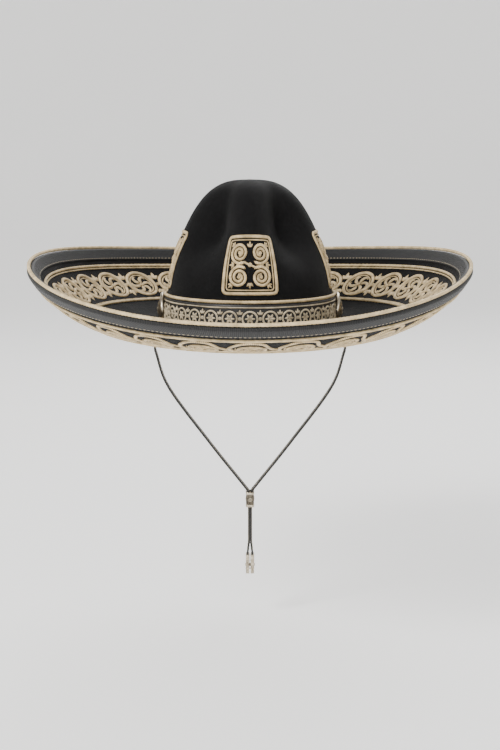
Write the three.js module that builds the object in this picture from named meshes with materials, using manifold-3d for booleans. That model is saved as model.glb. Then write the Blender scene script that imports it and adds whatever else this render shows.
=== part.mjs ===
// A sombrero charro: a stiff black felt hat with a tall four-dent crown and a wide upswept brim. It has
// cream scroll applique, a leather band, silver conchos, and a chin strap that swings and adjusts.
//
// Millimetres, +Z up. The origin is the centre of the head opening, in the plane where crown and brim meet.
// The wearer faces -Y, and +X is the wearer's left.

import * as THREE from "three";
import { mergeVertices } from "three/addons/utils/BufferGeometryUtils.js";
import Module from "manifold-3d";

const wasm = await Module();
wasm.setup();

// ---------------------------------------------------------------- driving dimensions

// Head opening, inside the sweatband: its girth is 587 mm, a size 59.
const headLength = 202;
const headBreadth = 171;

const fitGap = 0.3; // clearance between two pieces that lie against each other
const seatGap = 0.6; // clearance under a cord or a plate on a curved surface
const slideGap = 0.4; // clearance round the straps inside the slider

const crownHeight = 166;
const crownFeltThickness = 4;
const crownSquareness = 3; // 2 is an ellipse, more is a squarer shoulder
const crownTaper = 0.22; // share of its width that the crown loses on the way up

const dentDepth = 36;
const dentDrop = 10;
const dentBelowPeak = 44; // from the peak to the middle of a dent
const dentTallness = 36;
const dentWideness = 25; // degrees
const frontDentTurn = 42; // degrees from the front, either side
const backDentTurn = 137;

const brimWidth = 172; // along the felt, from crown to edge
const brimTopThickness = 3;
const brimUnderThickness = 2.4;
const brimCurl = 1.55; // how late the brim turns up: 1 is an even arc
const brimEndSlope = { front: 36, side: 64, back: 60 }; // degrees at the edge
const brimEarlySlope = { front: -6, side: 4, back: 1 }; // degrees that it adds halfway out

const brimWireDiameter = 2.2;
const bindingWidth = 12; // that it reaches in from the edge, on both faces
const bindingThickness = 1.2;
const cordDiameter = 4;

const brimGrecaInset = 19; // from the brim's edge to the outer border of the applique ring
const brimGrecaWidth = 66;
const appliqueThickness = 1.4;

const sweatbandThickness = 1.6;
const sweatbandHeight = 60;
const sweatbandOverhang = 0.8; // below the facing under the brim
const liningThickness = 1.2;
const liningFoot = 42; // the lining ends behind the sweatband
const liningTipDrop = 16; // from the peak to the seam between the lining's side and its tip

const bandThickness = 2.4;
const bandHeight = 30;

const conchoLength = 44;
const conchoHeight = 36;
const conchoThickness = 1.6;
const conchoDome = 3.6;
const conchoPostDiameter = 3.2;
const conchoNutDiameter = 8;
const conchoNutThickness = 0.9;
const conchoNutGap = 0.5; // between the curved wall and the flat nut

const panelGap = 5; // between the upper band cord and a crown panel
const panelHeight = 64;
const panelWidth = 64;

const studReach = 15; // from the crown to the middle of the strap stud, along the brim
const studDiameter = 16;
const studRim = 1;
const studDome = 4;
const studPostDiameter = 3.2;
const lugBaseDiameter = 14;
const lugBaseThickness = 3.4;
const lugPlateThickness = 2;
const rivetDiameter = 3;
const rivetHeadDiameter = 7;
const rivetHeadThickness = 1.2;

const strapWidth = 12;
const strapThickness = 2;
const strapDrop = 170; // from the rivet to the top of the slider
const sliderHeight = 17;
const sliderWall = 2.2;
const sliderTravel = 40;
const tailSplay = 26; // height over which the two tails part, below the slider's travel
const tipLength = 24;
const tipWall = 0.9;
const tipGrip = 12; // length of strap that the tip holds

const bowWidth = 28;
const bowHeight = 12;
const bowThickness = 1.8;

const around = 36; // facets round the hat: a multiple of 4
const crownRowStep = 0.2; // radians of rise
const brimRowStep = 33;

// ---------------------------------------------------------------- worked-out dimensions

const DEG = Math.PI / 180;
const QUARTER = Math.PI / 2;
const liningPocket = fitGap + liningThickness + fitGap; // between felt and sweatband
const wallStack = sweatbandThickness + liningPocket + crownFeltThickness;
const crownHalfLength = headLength / 2 + wallStack;
const crownHalfBreadth = headBreadth / 2 + wallStack;
const sweatbandDepth = crownFeltThickness + liningPocket; // under the crown's outer face
const reedDiameter = liningPocket - 2 * fitGap;
const liningTipHeight = crownHeight - liningTipDrop;
const dentHeight = crownHeight - dentBelowPeak;

const brimTopFace = fitGap / 2 + brimTopThickness;
const brimUnderFace = -(fitGap / 2 + brimUnderThickness);
const brimMiddle = (brimTopFace + brimUnderFace) / 2;
const sweatbandFoot = brimUnderFace - sweatbandOverhang;

const cordRadius = cordDiameter / 2;
const lowerCordHeight = brimTopFace + seatGap + cordRadius;
const bandFoot = lowerCordHeight + cordRadius + fitGap;
const bandTop = bandFoot + bandHeight;
const bandMiddle = (bandFoot + bandTop) / 2;
const upperCordHeight = bandTop + fitGap + cordRadius;
const panelFoot = upperCordHeight + cordRadius + panelGap;

const grecaOuter = brimWidth - brimGrecaInset;
const grecaInner = grecaOuter - brimGrecaWidth;
const wireReach = brimWidth + fitGap + brimWireDiameter / 2;
const bindingStart = brimWidth - bindingWidth;
const bindingReach = wireReach + brimWireDiameter / 2 + fitGap; // of the binding's inner face
const edgeCordReach = bindingReach + bindingThickness + fitGap + cordRadius;

const studOut = crownHalfBreadth + fitGap + studReach;
const lugTop = brimUnderFace - fitGap;
const lugFoot = lugTop - lugBaseThickness;
const strapRadius = strapWidth / 2;
const rivetDrop = strapRadius + 1.5; // from the lug's base to the rivet
const rivetHeight = lugFoot - rivetDrop;
const strapOut = studOut - lugPlateThickness / 2 - fitGap - strapThickness / 2;
const strapIn = (fitGap + strapThickness) / 2; // the two tails lie side by side
const sliderTop = rivetHeight - strapDrop;
const tailStraightEnd = sliderTop - sliderHeight - sliderTravel - fitGap;
const tipThickness = strapThickness + 2 * (fitGap + tipWall);
const tipOut = (fitGap + tipThickness) / 2 + fitGap;
const strapEnd = tailStraightEnd - tailSplay;

// ---------------------------------------------------------------- solids and meshes

const finishes = {
  felt: { color: 0x161617, roughness: 0.95, metalness: 0 },
  applique: { color: 0xcdbd9b, roughness: 0.75, metalness: 0.1 },
  cord: { color: 0xd8c8a6, roughness: 0.6, metalness: 0.15 },
  strap: { color: 0x1b1816, roughness: 0.5, metalness: 0 },
  sweatLeather: { color: 0x5b3d26, roughness: 0.6, metalness: 0 },
  satin: { color: 0x8f8468, roughness: 0.45, metalness: 0 },
  silver: { color: 0xb2a58b, roughness: 0.35, metalness: 1 },
  steel: { color: 0x8f9193, roughness: 0.4, metalness: 1 },
};

const hat = new THREE.Group();

function addPiece(name, geometry, finish) {
  const mesh = new THREE.Mesh(geometry, new THREE.MeshStandardMaterial(finishes[finish]));
  mesh.name = name;
  hat.add(mesh);
}

// Merges the corners that coincide and drops the triangles that this flattens.
function welded(geometry) {
  const bare = geometry.clone();
  bare.deleteAttribute("normal");
  bare.deleteAttribute("uv");
  const merged = mergeVertices(bare, 1e-3);
  const corners = merged.index.array;
  const kept = [];
  for (let i = 0; i < corners.length; i += 3) {
    const [a, b, c] = corners.slice(i, i + 3);
    if (a !== b && b !== c && c !== a) kept.push(a, b, c);
  }
  return merged.setIndex(kept);
}

// A three.js geometry as a manifold-3d solid.
function solidOf(geometry) {
  const merged = welded(geometry);
  return new wasm.Manifold(
    new wasm.Mesh({
      numProp: 3,
      vertProperties: new Float32Array(merged.attributes.position.array),
      triVerts: new Uint32Array(merged.index.array),
    }),
  );
}

// A manifold-3d solid as a three.js geometry.
function geometryOf(solid) {
  const mesh = solid.getMesh();
  return new THREE.BufferGeometry()
    .setAttribute("position", new THREE.BufferAttribute(mesh.vertProperties, 3))
    .setIndex(new THREE.BufferAttribute(mesh.triVerts, 1));
}

// Evenly spaced values that keep every break and leave no step longer than the one given.
function spaced(breaks, step) {
  const values = [breaks[0]];
  for (let i = 1; i < breaks.length; i++) {
    const count = Math.max(1, Math.ceil((breaks[i] - breaks[i - 1]) / step - 1e-9));
    for (let k = 1; k <= count; k++) {
      values.push(breaks[i - 1] + ((breaks[i] - breaks[i - 1]) * k) / count);
    }
  }
  return values;
}

// A closed shell round the hat between a front and a back sheet, each a function of turn and station.
// The front sheet is the one that a turn and then a station run round with the face outwards. Both split
// their quads along the same diagonal, so nested shells keep their gap.
function shell(front, back, stations) {
  const rows = stations.length;
  const positions = [];
  const indices = [];
  for (const sheet of [front, back]) {
    for (const station of stations) {
      for (let j = 0; j < around; j++) positions.push(...sheet((2 * Math.PI * j) / around, station));
    }
  }
  const at = (side, row, j) => (side * rows + row) * around + (j % around);
  const face = (a, b, c, d) => indices.push(a, b, d, b, c, d);
  for (let j = 0; j < around; j++) {
    for (let row = 0; row < rows - 1; row++) {
      face(at(0, row, j), at(0, row, j + 1), at(0, row + 1, j + 1), at(0, row + 1, j));
      const [a, b, c, d] = [at(1, row, j), at(1, row, j + 1), at(1, row + 1, j + 1), at(1, row + 1, j)];
      indices.push(a, d, b, b, d, c);
    }
    face(at(1, 0, j), at(1, 0, j + 1), at(0, 0, j + 1), at(0, 0, j));
    face(at(0, rows - 1, j), at(0, rows - 1, j + 1), at(1, rows - 1, j + 1), at(1, rows - 1, j));
  }
  const geometry = new THREE.BufferGeometry();
  geometry.setAttribute("position", new THREE.Float32BufferAttribute(positions, 3));
  return welded(geometry.setIndex(indices));
}

// A closed ring round the hat. Its section at each turn is a loop of points that keeps its corners.
function ring(section) {
  const sides = section(0).length;
  const positions = [];
  const indices = [];
  for (let j = 0; j < around; j++) {
    for (const corner of section((2 * Math.PI * j) / around)) positions.push(...corner);
    const here = j * sides;
    const next = ((j + 1) % around) * sides;
    for (let k = 0; k < sides; k++) {
      const after = (k + 1) % sides;
      indices.push(here + k, next + k, here + after, next + k, next + after, here + after);
    }
  }
  const geometry = new THREE.BufferGeometry();
  geometry.setAttribute("position", new THREE.Float32BufferAttribute(positions, 3));
  return welded(geometry.setIndex(indices));
}

// The unit circle's corners, for a cord's section.
const circle = (sides) =>
  Array.from({ length: sides }, (_, k) => {
    const angle = (2 * Math.PI * (k + 0.5)) / sides;
    return { x: Math.cos(angle), y: Math.sin(angle) };
  });

// A solid of revolution about local Z, from points of radius and height.
function turned(points, segments = 16) {
  const profile = points.map(([radius, height]) => new THREE.Vector2(radius, height));
  return new THREE.LatheGeometry(profile, segments).rotateX(QUARTER);
}

// A shallow dome's profile, from its peak on the axis down to its rim.
function domeProfile(radius, rimHeight, dome, steps) {
  return Array.from({ length: steps + 1 }, (_, k) => {
    const angle = (QUARTER * k) / steps;
    return [radius * Math.sin(angle), rimHeight + dome * Math.cos(angle)];
  });
}

// ---------------------------------------------------------------- the crown's surface

// Rise runs from 0 at the brim to a quarter turn at the peak. Below the brim it is negative.
function riseAt(height) {
  if (height <= 0) return height / crownHeight;
  return Math.asin((height / crownHeight) ** (crownSquareness / 2));
}

const dentTurns = [frontDentTurn, backDentTurn, -frontDentTurn, -backDentTurn].map((d) => d * DEG);

// The crown's outer face. Turn 0 is the front, and a quarter turn is the wearer's left.
function crownFace(turn, rise) {
  if (rise < 0) return crownFace(turn, 0).setZ(rise * crownHeight);
  const heightShare = Math.sin(rise) ** (2 / crownSquareness);
  const widthShare = Math.max(Math.cos(rise), 0) ** (2 / crownSquareness);
  const height = crownHeight * heightShare;
  let dent = 0;
  for (const dentTurn of dentTurns) {
    const apart = Math.atan2(Math.sin(turn - dentTurn), Math.cos(turn - dentTurn)) / DEG;
    dent += Math.exp(-((apart / dentWideness) ** 2) - ((height - dentHeight) / dentTallness) ** 2);
  }
  const taper = 1 - crownTaper * heightShare ** 2;
  const spread = widthShare * taper * (1 - (dentDepth / crownHalfBreadth) * dent);
  return new THREE.Vector3(
    crownHalfBreadth * spread * Math.sin(turn),
    -crownHalfLength * spread * Math.cos(turn),
    height - dentDrop * dent * widthShare,
  );
}

function crownNormal(turn, rise) {
  const step = 0.004;
  if (rise > QUARTER - step) return new THREE.Vector3(0, 0, 1);
  const middle = Math.max(rise, 0);
  const low = Math.max(rise - step, 0);
  const alongTurn = crownFace(turn + step, middle).sub(crownFace(turn - step, middle));
  const alongRise = crownFace(turn, low + 2 * step).sub(crownFace(turn, low));
  return alongTurn.cross(alongRise).normalize();
}

// The sheet that lies a given depth under the crown's outer face. A negative depth lies outside it.
const crownSheet = (depth) => (turn, rise) =>
  crownFace(turn, rise).addScaledVector(crownNormal(turn, rise), -depth);

const bandSeams = [bandFoot, bandMiddle, bandTop];
const seams = [brimUnderFace, 0, ...bandSeams, liningFoot, sweatbandHeight, liningTipHeight];
const seamRises = seams.map(riseAt).sort((a, b) => a - b);
const crownRises = spaced([...seamRises, QUARTER], crownRowStep);

// The crown's rows from one height to another, both included, so that neighbours share their facets.
function risesBetween(low, high) {
  const ends = [riseAt(low), riseAt(high)];
  const between = crownRises.filter((rise) => rise > ends[0] + 1e-6 && rise < ends[1] - 1e-6);
  return [ends[0], ...between, ends[1]];
}

// A shell that follows the crown between two depths and two heights.
const crownShell = (outerDepth, innerDepth, low, high) =>
  shell(crownSheet(outerDepth), crownSheet(innerDepth), risesBetween(low, high));

// The length along the band line of a radian of turn.
function crownStride(turn) {
  return Math.hypot(crownHalfBreadth * Math.cos(turn), crownHalfLength * Math.sin(turn));
}

// Bends a flat geometry round the crown: x runs round it from a turn, y is the height, and z stands out
// from a depth under the outer face.
function wrappedOnCrown(geometry, turn, depth) {
  const position = geometry.attributes.position;
  for (let i = 0; i < position.count; i++) {
    const sheet = crownSheet(depth - position.getZ(i));
    const point = sheet(turn + position.getX(i) / crownStride(turn), riseAt(position.getY(i)));
    position.setXYZ(i, ...point);
  }
  return geometry;
}

// Stands a geometry square on the crown's outer face, z outwards.
function stoodOnCrown(geometry, turn, height) {
  const normal = crownNormal(turn, riseAt(height));
  const round = new THREE.Vector3(Math.cos(turn), Math.sin(turn), 0);
  round.addScaledVector(normal, -round.dot(normal)).normalize();
  const frame = new THREE.Matrix4().makeBasis(round, normal.clone().cross(round), normal);
  return geometry.applyMatrix4(frame.setPosition(crownFace(turn, riseAt(height))));
}

// The section of a round cord against the crown, with its middle at a depth and a height.
const crownCord = (depth, height, radius, sides) => (turn) =>
  circle(sides).map(({ x, y }) =>
    crownSheet(depth - radius * x)(turn, riseAt(height)).add(new THREE.Vector3(0, 0, radius * y)),
  );

// ---------------------------------------------------------------- the brim's surface

// A value given at the front, the sides and the back, blended smoothly round the hat.
function roundHat(value, turn) {
  const ends = (value.front + value.back) / 2;
  const foreAndAft = ((value.front - value.back) / 2) * Math.cos(turn);
  return (ends + value.side) / 2 + foreAndAft + ((ends - value.side) / 2) * Math.cos(2 * turn);
}

function brimSlope(turn, reach) {
  const share = Math.max(reach, 0) / brimWidth;
  const early = Math.max(0, 4 * share * (1 - share)) ** 2;
  return DEG * (roundHat(brimEndSlope, turn) * share ** brimCurl + roundHat(brimEarlySlope, turn) * early);
}

// The point a reach out along the brim from the crown, lifted off the surface between its two felts.
function brimPoint(turn, reach, lift) {
  const strips = 16;
  let out = 0;
  let up = 0;
  for (let k = 0; k < strips; k++) {
    const slope = brimSlope(turn, (reach * (k + 0.5)) / strips);
    out += (Math.cos(slope) * reach) / strips;
    up += (Math.sin(slope) * reach) / strips;
  }
  const end = brimSlope(turn, reach);
  const halfBreadth = crownHalfBreadth + fitGap;
  const halfLength = crownHalfLength + fitGap;
  const facing = new THREE.Vector3(Math.sin(turn) / halfBreadth, -Math.cos(turn) / halfLength, 0);
  return new THREE.Vector3(halfBreadth * Math.sin(turn), -halfLength * Math.cos(turn), 0)
    .addScaledVector(facing.normalize(), out - Math.sin(end) * lift)
    .setZ(up + Math.cos(end) * lift);
}

const brimSheet = (lift) => (turn, reach) => brimPoint(turn, reach, lift);

// A shell that follows the brim between two lifts and two reaches, with rows that its neighbours share.
function brimShell(topLift, underLift, inner, outer) {
  const rows = spaced([0, grecaInner, grecaOuter, bindingStart, brimWidth], brimRowStep);
  const reaches = rows.filter((reach) => reach > inner - 1e-6 && reach < outer + 1e-6);
  return shell(brimSheet(underLift), brimSheet(topLift), reaches);
}

// The section of a round cord that runs along the brim.
const brimCord = (reach, lift, radius, sides) => (turn) =>
  circle(sides).map(({ x, y }) => brimPoint(turn, reach + radius * x, lift + radius * y));

// ---------------------------------------------------------------- the felt

const sideTurns = { left: QUARTER, right: -QUARTER };

// A drill through the crown's wall for a concho's post.
function conchoDrill(turn) {
  const radius = conchoPostDiameter / 2 + fitGap;
  const depth = 4 * crownFeltThickness;
  const drill = new THREE.CylinderGeometry(radius, radius, depth, 16).rotateX(QUARTER);
  return solidOf(stoodOnCrown(drill, turn, bandMiddle));
}

// A drill through the brim for a strap stud's post.
function studDrill(turn) {
  const radius = studPostDiameter / 2 + fitGap;
  const depth = 4 * brimTopThickness;
  const drill = new THREE.CylinderGeometry(radius, radius, depth, 16).rotateX(QUARTER);
  return solidOf(drill.translate(studOut * Math.sin(turn), 0, 0));
}

function drilled(geometry, drillAt) {
  let solid = solidOf(geometry);
  for (const turn of Object.values(sideTurns)) solid = solid.subtract(drillAt(turn));
  return geometryOf(solid);
}

function addFelt() {
  const crown = shell(crownSheet(0), crownSheet(crownFeltThickness), crownRises);
  addPiece("crown_felt", drilled(crown, conchoDrill), "felt");
  const brim = brimShell(brimTopFace, fitGap / 2, 0, brimWidth);
  addPiece("brim_felt", drilled(brim, studDrill), "felt");
  const facing = brimShell(-fitGap / 2, brimUnderFace, 0, brimWidth);
  addPiece("underbrim_facing", drilled(facing, studDrill), "felt");
}

// ---------------------------------------------------------------- the brim's edge

// The binding's section: a U that wraps the two felts and the wire.
function bindingSection(turn) {
  const top = brimTopFace + fitGap;
  const under = brimUnderFace - seatGap;
  const skin = bindingThickness;
  return [
    [bindingStart, top],
    [brimWidth, top],
    [bindingReach, brimMiddle + brimWireDiameter / 2],
    [bindingReach, brimMiddle - brimWireDiameter / 2],
    [brimWidth, under],
    [bindingStart, under],
    [bindingStart, under - skin],
    [brimWidth, under - skin],
    [bindingReach + skin, brimMiddle - brimWireDiameter],
    [bindingReach + skin, brimMiddle + brimWireDiameter],
    [brimWidth, top + skin],
    [bindingStart, top + skin],
  ].map(([reach, lift]) => brimPoint(turn, reach, lift));
}

function addBrimEdge() {
  addPiece("brim_wire", ring(brimCord(wireReach, brimMiddle, brimWireDiameter / 2, 5)), "steel");
  addPiece("edge_binding", ring(bindingSection), "felt");
  addPiece("edge_cord", ring(brimCord(edgeCordReach, brimMiddle, cordRadius, 6)), "cord");
}

// ---------------------------------------------------------------- inside the crown

function bowGeometry() {
  const [half, waist, height] = [bowWidth / 2, bowHeight / 5, bowHeight / 2];
  const outline = [
    [-half, -height],
    [-waist, -waist],
    [waist, -waist],
    [half, -height],
    [half, height],
    [waist, waist],
    [-waist, waist],
    [-half, height],
  ].map(([x, y]) => new THREE.Vector2(x, y));
  return new THREE.ExtrudeGeometry(new THREE.Shape(outline), { depth: bowThickness, bevelEnabled: false });
}

function addInside() {
  const liningDepth = crownFeltThickness + fitGap;
  const liningBack = liningDepth + liningThickness;
  addPiece("crown_lining_side", crownShell(liningDepth, liningBack, liningFoot, liningTipHeight), "satin");
  const tipRises = crownRises.filter((rise) => rise > riseAt(liningTipHeight) + 1e-6);
  const tipStart = riseAt(liningTipHeight) + fitGap / crownHalfBreadth;
  const tip = shell(crownSheet(liningDepth), crownSheet(liningBack), [tipStart, ...tipRises]);
  addPiece("crown_lining_tip", tip, "satin");

  const sweatbandBack = sweatbandDepth + sweatbandThickness;
  const sweatband = crownShell(sweatbandDepth, sweatbandBack, sweatbandFoot, sweatbandHeight);
  addPiece("sweatband", sweatband, "sweatLeather");
  const reedDepth = crownFeltThickness + liningPocket / 2;
  const reed = crownCord(reedDepth, brimUnderFace + reedDiameter / 2, reedDiameter / 2, 4);
  addPiece("sweatband_reed", ring(reed), "sweatLeather");
  const bow = bowGeometry().translate(0, sweatbandHeight / 2, -bowThickness);
  addPiece("sweatband_bow", wrappedOnCrown(bow, Math.PI, sweatbandBack + seatGap), "satin");
}

// ---------------------------------------------------------------- the band and its conchos

// A bent oval plate with a domed face, on a post that goes through the band and the wall.
function conchoSolid(turn) {
  const foot = fitGap + cordDiameter + fitGap; // its rim lies on the two band cords
  const radius = conchoLength / 2;
  const dome = domeProfile(radius, foot + conchoThickness, conchoDome, 4).reverse();
  const plate = turned([[0, foot], [radius, foot], ...dome], 24);
  const oval = plate.scale(1, conchoHeight / conchoLength, 1).translate(0, bandMiddle, 0);
  const bent = solidOf(wrappedOnCrown(oval, turn, 0));
  const postEnd = -(crownFeltThickness + conchoNutGap + conchoNutThickness);
  const postTop = foot + conchoThickness;
  const postRadius = conchoPostDiameter / 2;
  const post = turned([[0, postEnd], [postRadius, postEnd], [postRadius, postTop], [0, postTop]]);
  return geometryOf(bent.add(solidOf(stoodOnCrown(post, turn, bandMiddle))));
}

function conchoNut(turn) {
  const bore = conchoPostDiameter / 2 + fitGap;
  const face = -(crownFeltThickness + conchoNutGap);
  const back = face - conchoNutThickness;
  const rim = conchoNutDiameter / 2;
  const profile = [[bore, back], [rim, back], [rim, face], [bore, face], [bore, back]];
  return stoodOnCrown(turned(profile), turn, bandMiddle);
}

function addBand() {
  const band = crownShell(-fitGap - bandThickness, -fitGap, bandFoot, bandTop);
  addPiece("hat_band", drilled(band, conchoDrill), "strap");
  const cordDepth = -fitGap - cordRadius;
  addPiece("band_cord_lower", ring(crownCord(cordDepth, lowerCordHeight, cordRadius, 6)), "cord");
  addPiece("band_cord_upper", ring(crownCord(cordDepth, upperCordHeight, cordRadius, 6)), "cord");
  for (const [side, turn] of Object.entries(sideTurns)) {
    addPiece(`concho_${side}`, conchoSolid(turn), "silver");
    addPiece(`concho_nut_${side}`, conchoNut(turn), "steel");
  }
}

// ---------------------------------------------------------------- the applique

function addApplique() {
  const top = brimTopFace + fitGap;
  const topRing = brimShell(top + appliqueThickness, top, grecaInner, grecaOuter);
  addPiece("brim_greca_top", topRing, "applique");
  const under = brimUnderFace - fitGap;
  const underRing = brimShell(under, under - appliqueThickness, grecaInner, grecaOuter);
  addPiece("brim_greca_under", underRing, "applique");
  const turns = { front: 0, left: QUARTER, back: Math.PI, right: -QUARTER };
  for (const [side, turn] of Object.entries(turns)) {
    const panel = new THREE.BoxGeometry(panelWidth, panelHeight, appliqueThickness, 6, 6, 1);
    panel.translate(0, panelFoot + panelHeight / 2, appliqueThickness / 2);
    addPiece(`crown_greca_${side}`, wrappedOnCrown(panel, turn, -seatGap), "applique");
  }
}

// ---------------------------------------------------------------- the chin strap

// A domed stud on the brim, with a post down into the lug below it.
function studGeometry(hand) {
  const foot = brimPoint(QUARTER, studReach + studDiameter / 2, brimTopFace).z + fitGap;
  const head = domeProfile(studDiameter / 2, foot + studRim, studDome, 4).reverse();
  const post = studPostDiameter / 2;
  const postEnd = lugTop - lugBaseThickness / 2;
  const profile = [[0, postEnd], [post, postEnd], [post, foot], [studDiameter / 2, foot], ...head];
  return turned(profile).translate(hand * studOut, 0, 0);
}

// A round base under the brim with a flat lug that carries the rivet, whose axis lies along X.
function lugGeometry(hand) {
  const rim = lugBaseDiameter / 2;
  const bore = studPostDiameter / 2 + fitGap;
  const floor = lugTop - lugBaseThickness / 2 - fitGap;
  const cup = [[rim, lugTop], [bore, lugTop], [bore, floor], [0, floor]];
  const base = turned([[0, lugFoot], [rim, lugFoot], ...cup]);
  const plateTop = (lugFoot + floor) / 2;
  const plateHeight = plateTop - rivetHeight;
  const plate = new THREE.BoxGeometry(lugPlateThickness, 2 * strapRadius, plateHeight);
  plate.translate(0, 0, rivetHeight + plateHeight / 2);
  const eye = new THREE.CylinderGeometry(strapRadius, strapRadius, lugPlateThickness, 24).rotateZ(QUARTER);
  eye.translate(0, 0, rivetHeight);
  const hole = rivetDiameter / 2 + fitGap;
  const drill = new THREE.CylinderGeometry(hole, hole, 3 * lugPlateThickness, 12).rotateZ(QUARTER);
  drill.translate(0, 0, rivetHeight);
  const solid = solidOf(base).add(solidOf(plate)).add(solidOf(eye)).subtract(solidOf(drill));
  return geometryOf(solid).translate(hand * studOut, 0, 0);
}

// A rivet along X through the lug and the strap, with a flat head at each end.
function rivetGeometry(hand) {
  const [shank, head] = [rivetDiameter / 2, rivetHeadDiameter / 2];
  const outer = studOut + lugPlateThickness / 2 + fitGap;
  const inner = strapOut - strapThickness / 2 - fitGap;
  const profile = [
    [0, inner - rivetHeadThickness],
    [head, inner - rivetHeadThickness],
    [head, inner],
    [shank, inner],
    [shank, outer],
    [head, outer],
    [head, outer + rivetHeadThickness],
    [0, outer + rivetHeadThickness],
  ];
  return turned(profile, 12).rotateY(hand * QUARTER).translate(0, 0, rivetHeight);
}

// Where the strap runs, in the plane through both rivets, from the left rivet down to its end.
function strapRoute() {
  const points = [
    [strapOut, rivetHeight],
    [strapOut, rivetHeight - strapRadius - 3],
    [strapOut * 0.86, rivetHeight - strapDrop * 0.3],
    [strapOut * 0.44, rivetHeight - strapDrop * 0.66],
    [strapOut * 0.1, rivetHeight - strapDrop * 0.93],
    [strapIn, sliderTop],
    [strapIn, tailStraightEnd],
    [tipOut, strapEnd + tipGrip],
    [tipOut, strapEnd],
  ];
  return points.map(([x, z]) => new THREE.Vector2(x, z));
}

function strapSolid() {
  const route = strapRoute();
  const upper = new THREE.SplineCurve(route.slice(1, 6)).getPoints(18);
  const tail = new THREE.SplineCurve(route.slice(6)).getPoints(6);
  const middle = [route[0], ...upper, ...tail];
  const sides = [1, -1].map((side) =>
    middle.map((point, i) => {
      const before = middle[Math.max(i - 1, 0)];
      const after = middle[Math.min(i + 1, middle.length - 1)];
      const along = after.clone().sub(before).normalize();
      const square = new THREE.Vector2(-along.y, along.x);
      return point.clone().addScaledVector(square, (side * strapThickness) / 2);
    }),
  );
  const outline = new THREE.Shape([...sides[0], ...sides[1].reverse()]);
  const flat = new THREE.ExtrudeGeometry(outline, { depth: strapWidth, bevelEnabled: false });
  const strap = solidOf(flat.translate(0, 0, -strapWidth / 2).rotateX(QUARTER));
  const eye = new THREE.CylinderGeometry(strapRadius, strapRadius, strapThickness, 24).rotateZ(QUARTER);
  const hole = rivetDiameter / 2 + fitGap;
  const drill = new THREE.CylinderGeometry(hole, hole, 3 * strapThickness, 12).rotateZ(QUARTER);
  return strap
    .add(solidOf(eye.translate(strapOut, 0, rivetHeight)))
    .subtract(solidOf(drill.translate(strapOut, 0, rivetHeight)));
}

// A folded metal tip on the strap's end.
function tipSolid() {
  const inside = strapThickness + 2 * fitGap;
  const foot = strapEnd - (tipLength - tipGrip);
  const wide = strapWidth / 2 + fitGap + tipWall;
  const outline = new THREE.Shape();
  outline.moveTo(-wide, strapEnd + tipGrip - 1);
  outline.lineTo(-wide, foot + wide);
  outline.absarc(0, foot + wide, wide, Math.PI, 2 * Math.PI);
  outline.lineTo(wide, strapEnd + tipGrip - 1);
  const thick = { depth: tipThickness, bevelEnabled: false, curveSegments: 8 };
  const block = new THREE.ExtrudeGeometry(outline, thick).translate(0, 0, -tipThickness / 2);
  const stood = block.rotateX(QUARTER).rotateZ(QUARTER).translate(tipOut, 0, 0);
  const pocket = new THREE.BoxGeometry(inside, strapWidth + 2 * fitGap, 2 * tipGrip);
  pocket.translate(tipOut, 0, strapEnd + tipGrip - fitGap);
  return solidOf(stood).subtract(solidOf(pocket));
}

// A flat tube that both tails run through.
function sliderGeometry() {
  const slotX = strapIn + strapThickness / 2 + slideGap;
  const slotY = strapWidth / 2 + slideGap;
  const [x, y] = [slotX + sliderWall, slotY + sliderWall];
  const corner = sliderWall;
  const outline = new THREE.Shape();
  outline.absarc(x - corner, y - corner, corner, 0, QUARTER);
  outline.absarc(corner - x, y - corner, corner, QUARTER, Math.PI);
  outline.absarc(corner - x, corner - y, corner, Math.PI, 3 * QUARTER);
  outline.absarc(x - corner, corner - y, corner, 3 * QUARTER, 4 * QUARTER);
  const slot = new THREE.Path();
  slot.moveTo(-slotX, -slotY);
  slot.lineTo(slotX, -slotY);
  slot.lineTo(slotX, slotY);
  slot.lineTo(-slotX, slotY);
  outline.holes.push(slot);
  const tall = { depth: sliderHeight, bevelEnabled: false, curveSegments: 4 };
  return new THREE.ExtrudeGeometry(outline, tall).translate(0, 0, sliderTop - sliderHeight);
}

function addChinStrap() {
  for (const [side, hand] of [["left", 1], ["right", -1]]) {
    addPiece(`strap_stud_${side}`, studGeometry(hand), "silver");
    addPiece(`strap_lug_${side}`, lugGeometry(hand), "silver");
    addPiece(`strap_rivet_${side}`, rivetGeometry(hand), "silver");
    const mirror = (solid) => (hand > 0 ? solid : solid.mirror([1, 0, 0]));
    addPiece(`chin_strap_${side}`, geometryOf(mirror(strapSolid())), "strap");
    addPiece(`strap_tip_${side}`, geometryOf(mirror(tipSolid())), "silver");
  }
  addPiece("strap_slider", sliderGeometry(), "silver");
}

addFelt();
addBrimEdge();
addInside();
addBand();
addApplique();
addChinStrap();

export default hat;
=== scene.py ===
# %% [markdown]
# # A charro sombrero
# This lesson dresses a stiff black felt hat. Its frame, a set of plain solids with real sizes and joints,
# is loaded first. Each solid is then replaced by a finished piece in the same place: blocked felt,
# couched scroll embroidery, twisted cords, stitched leather and antique silver.

# %% Load the frame
import math

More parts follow.
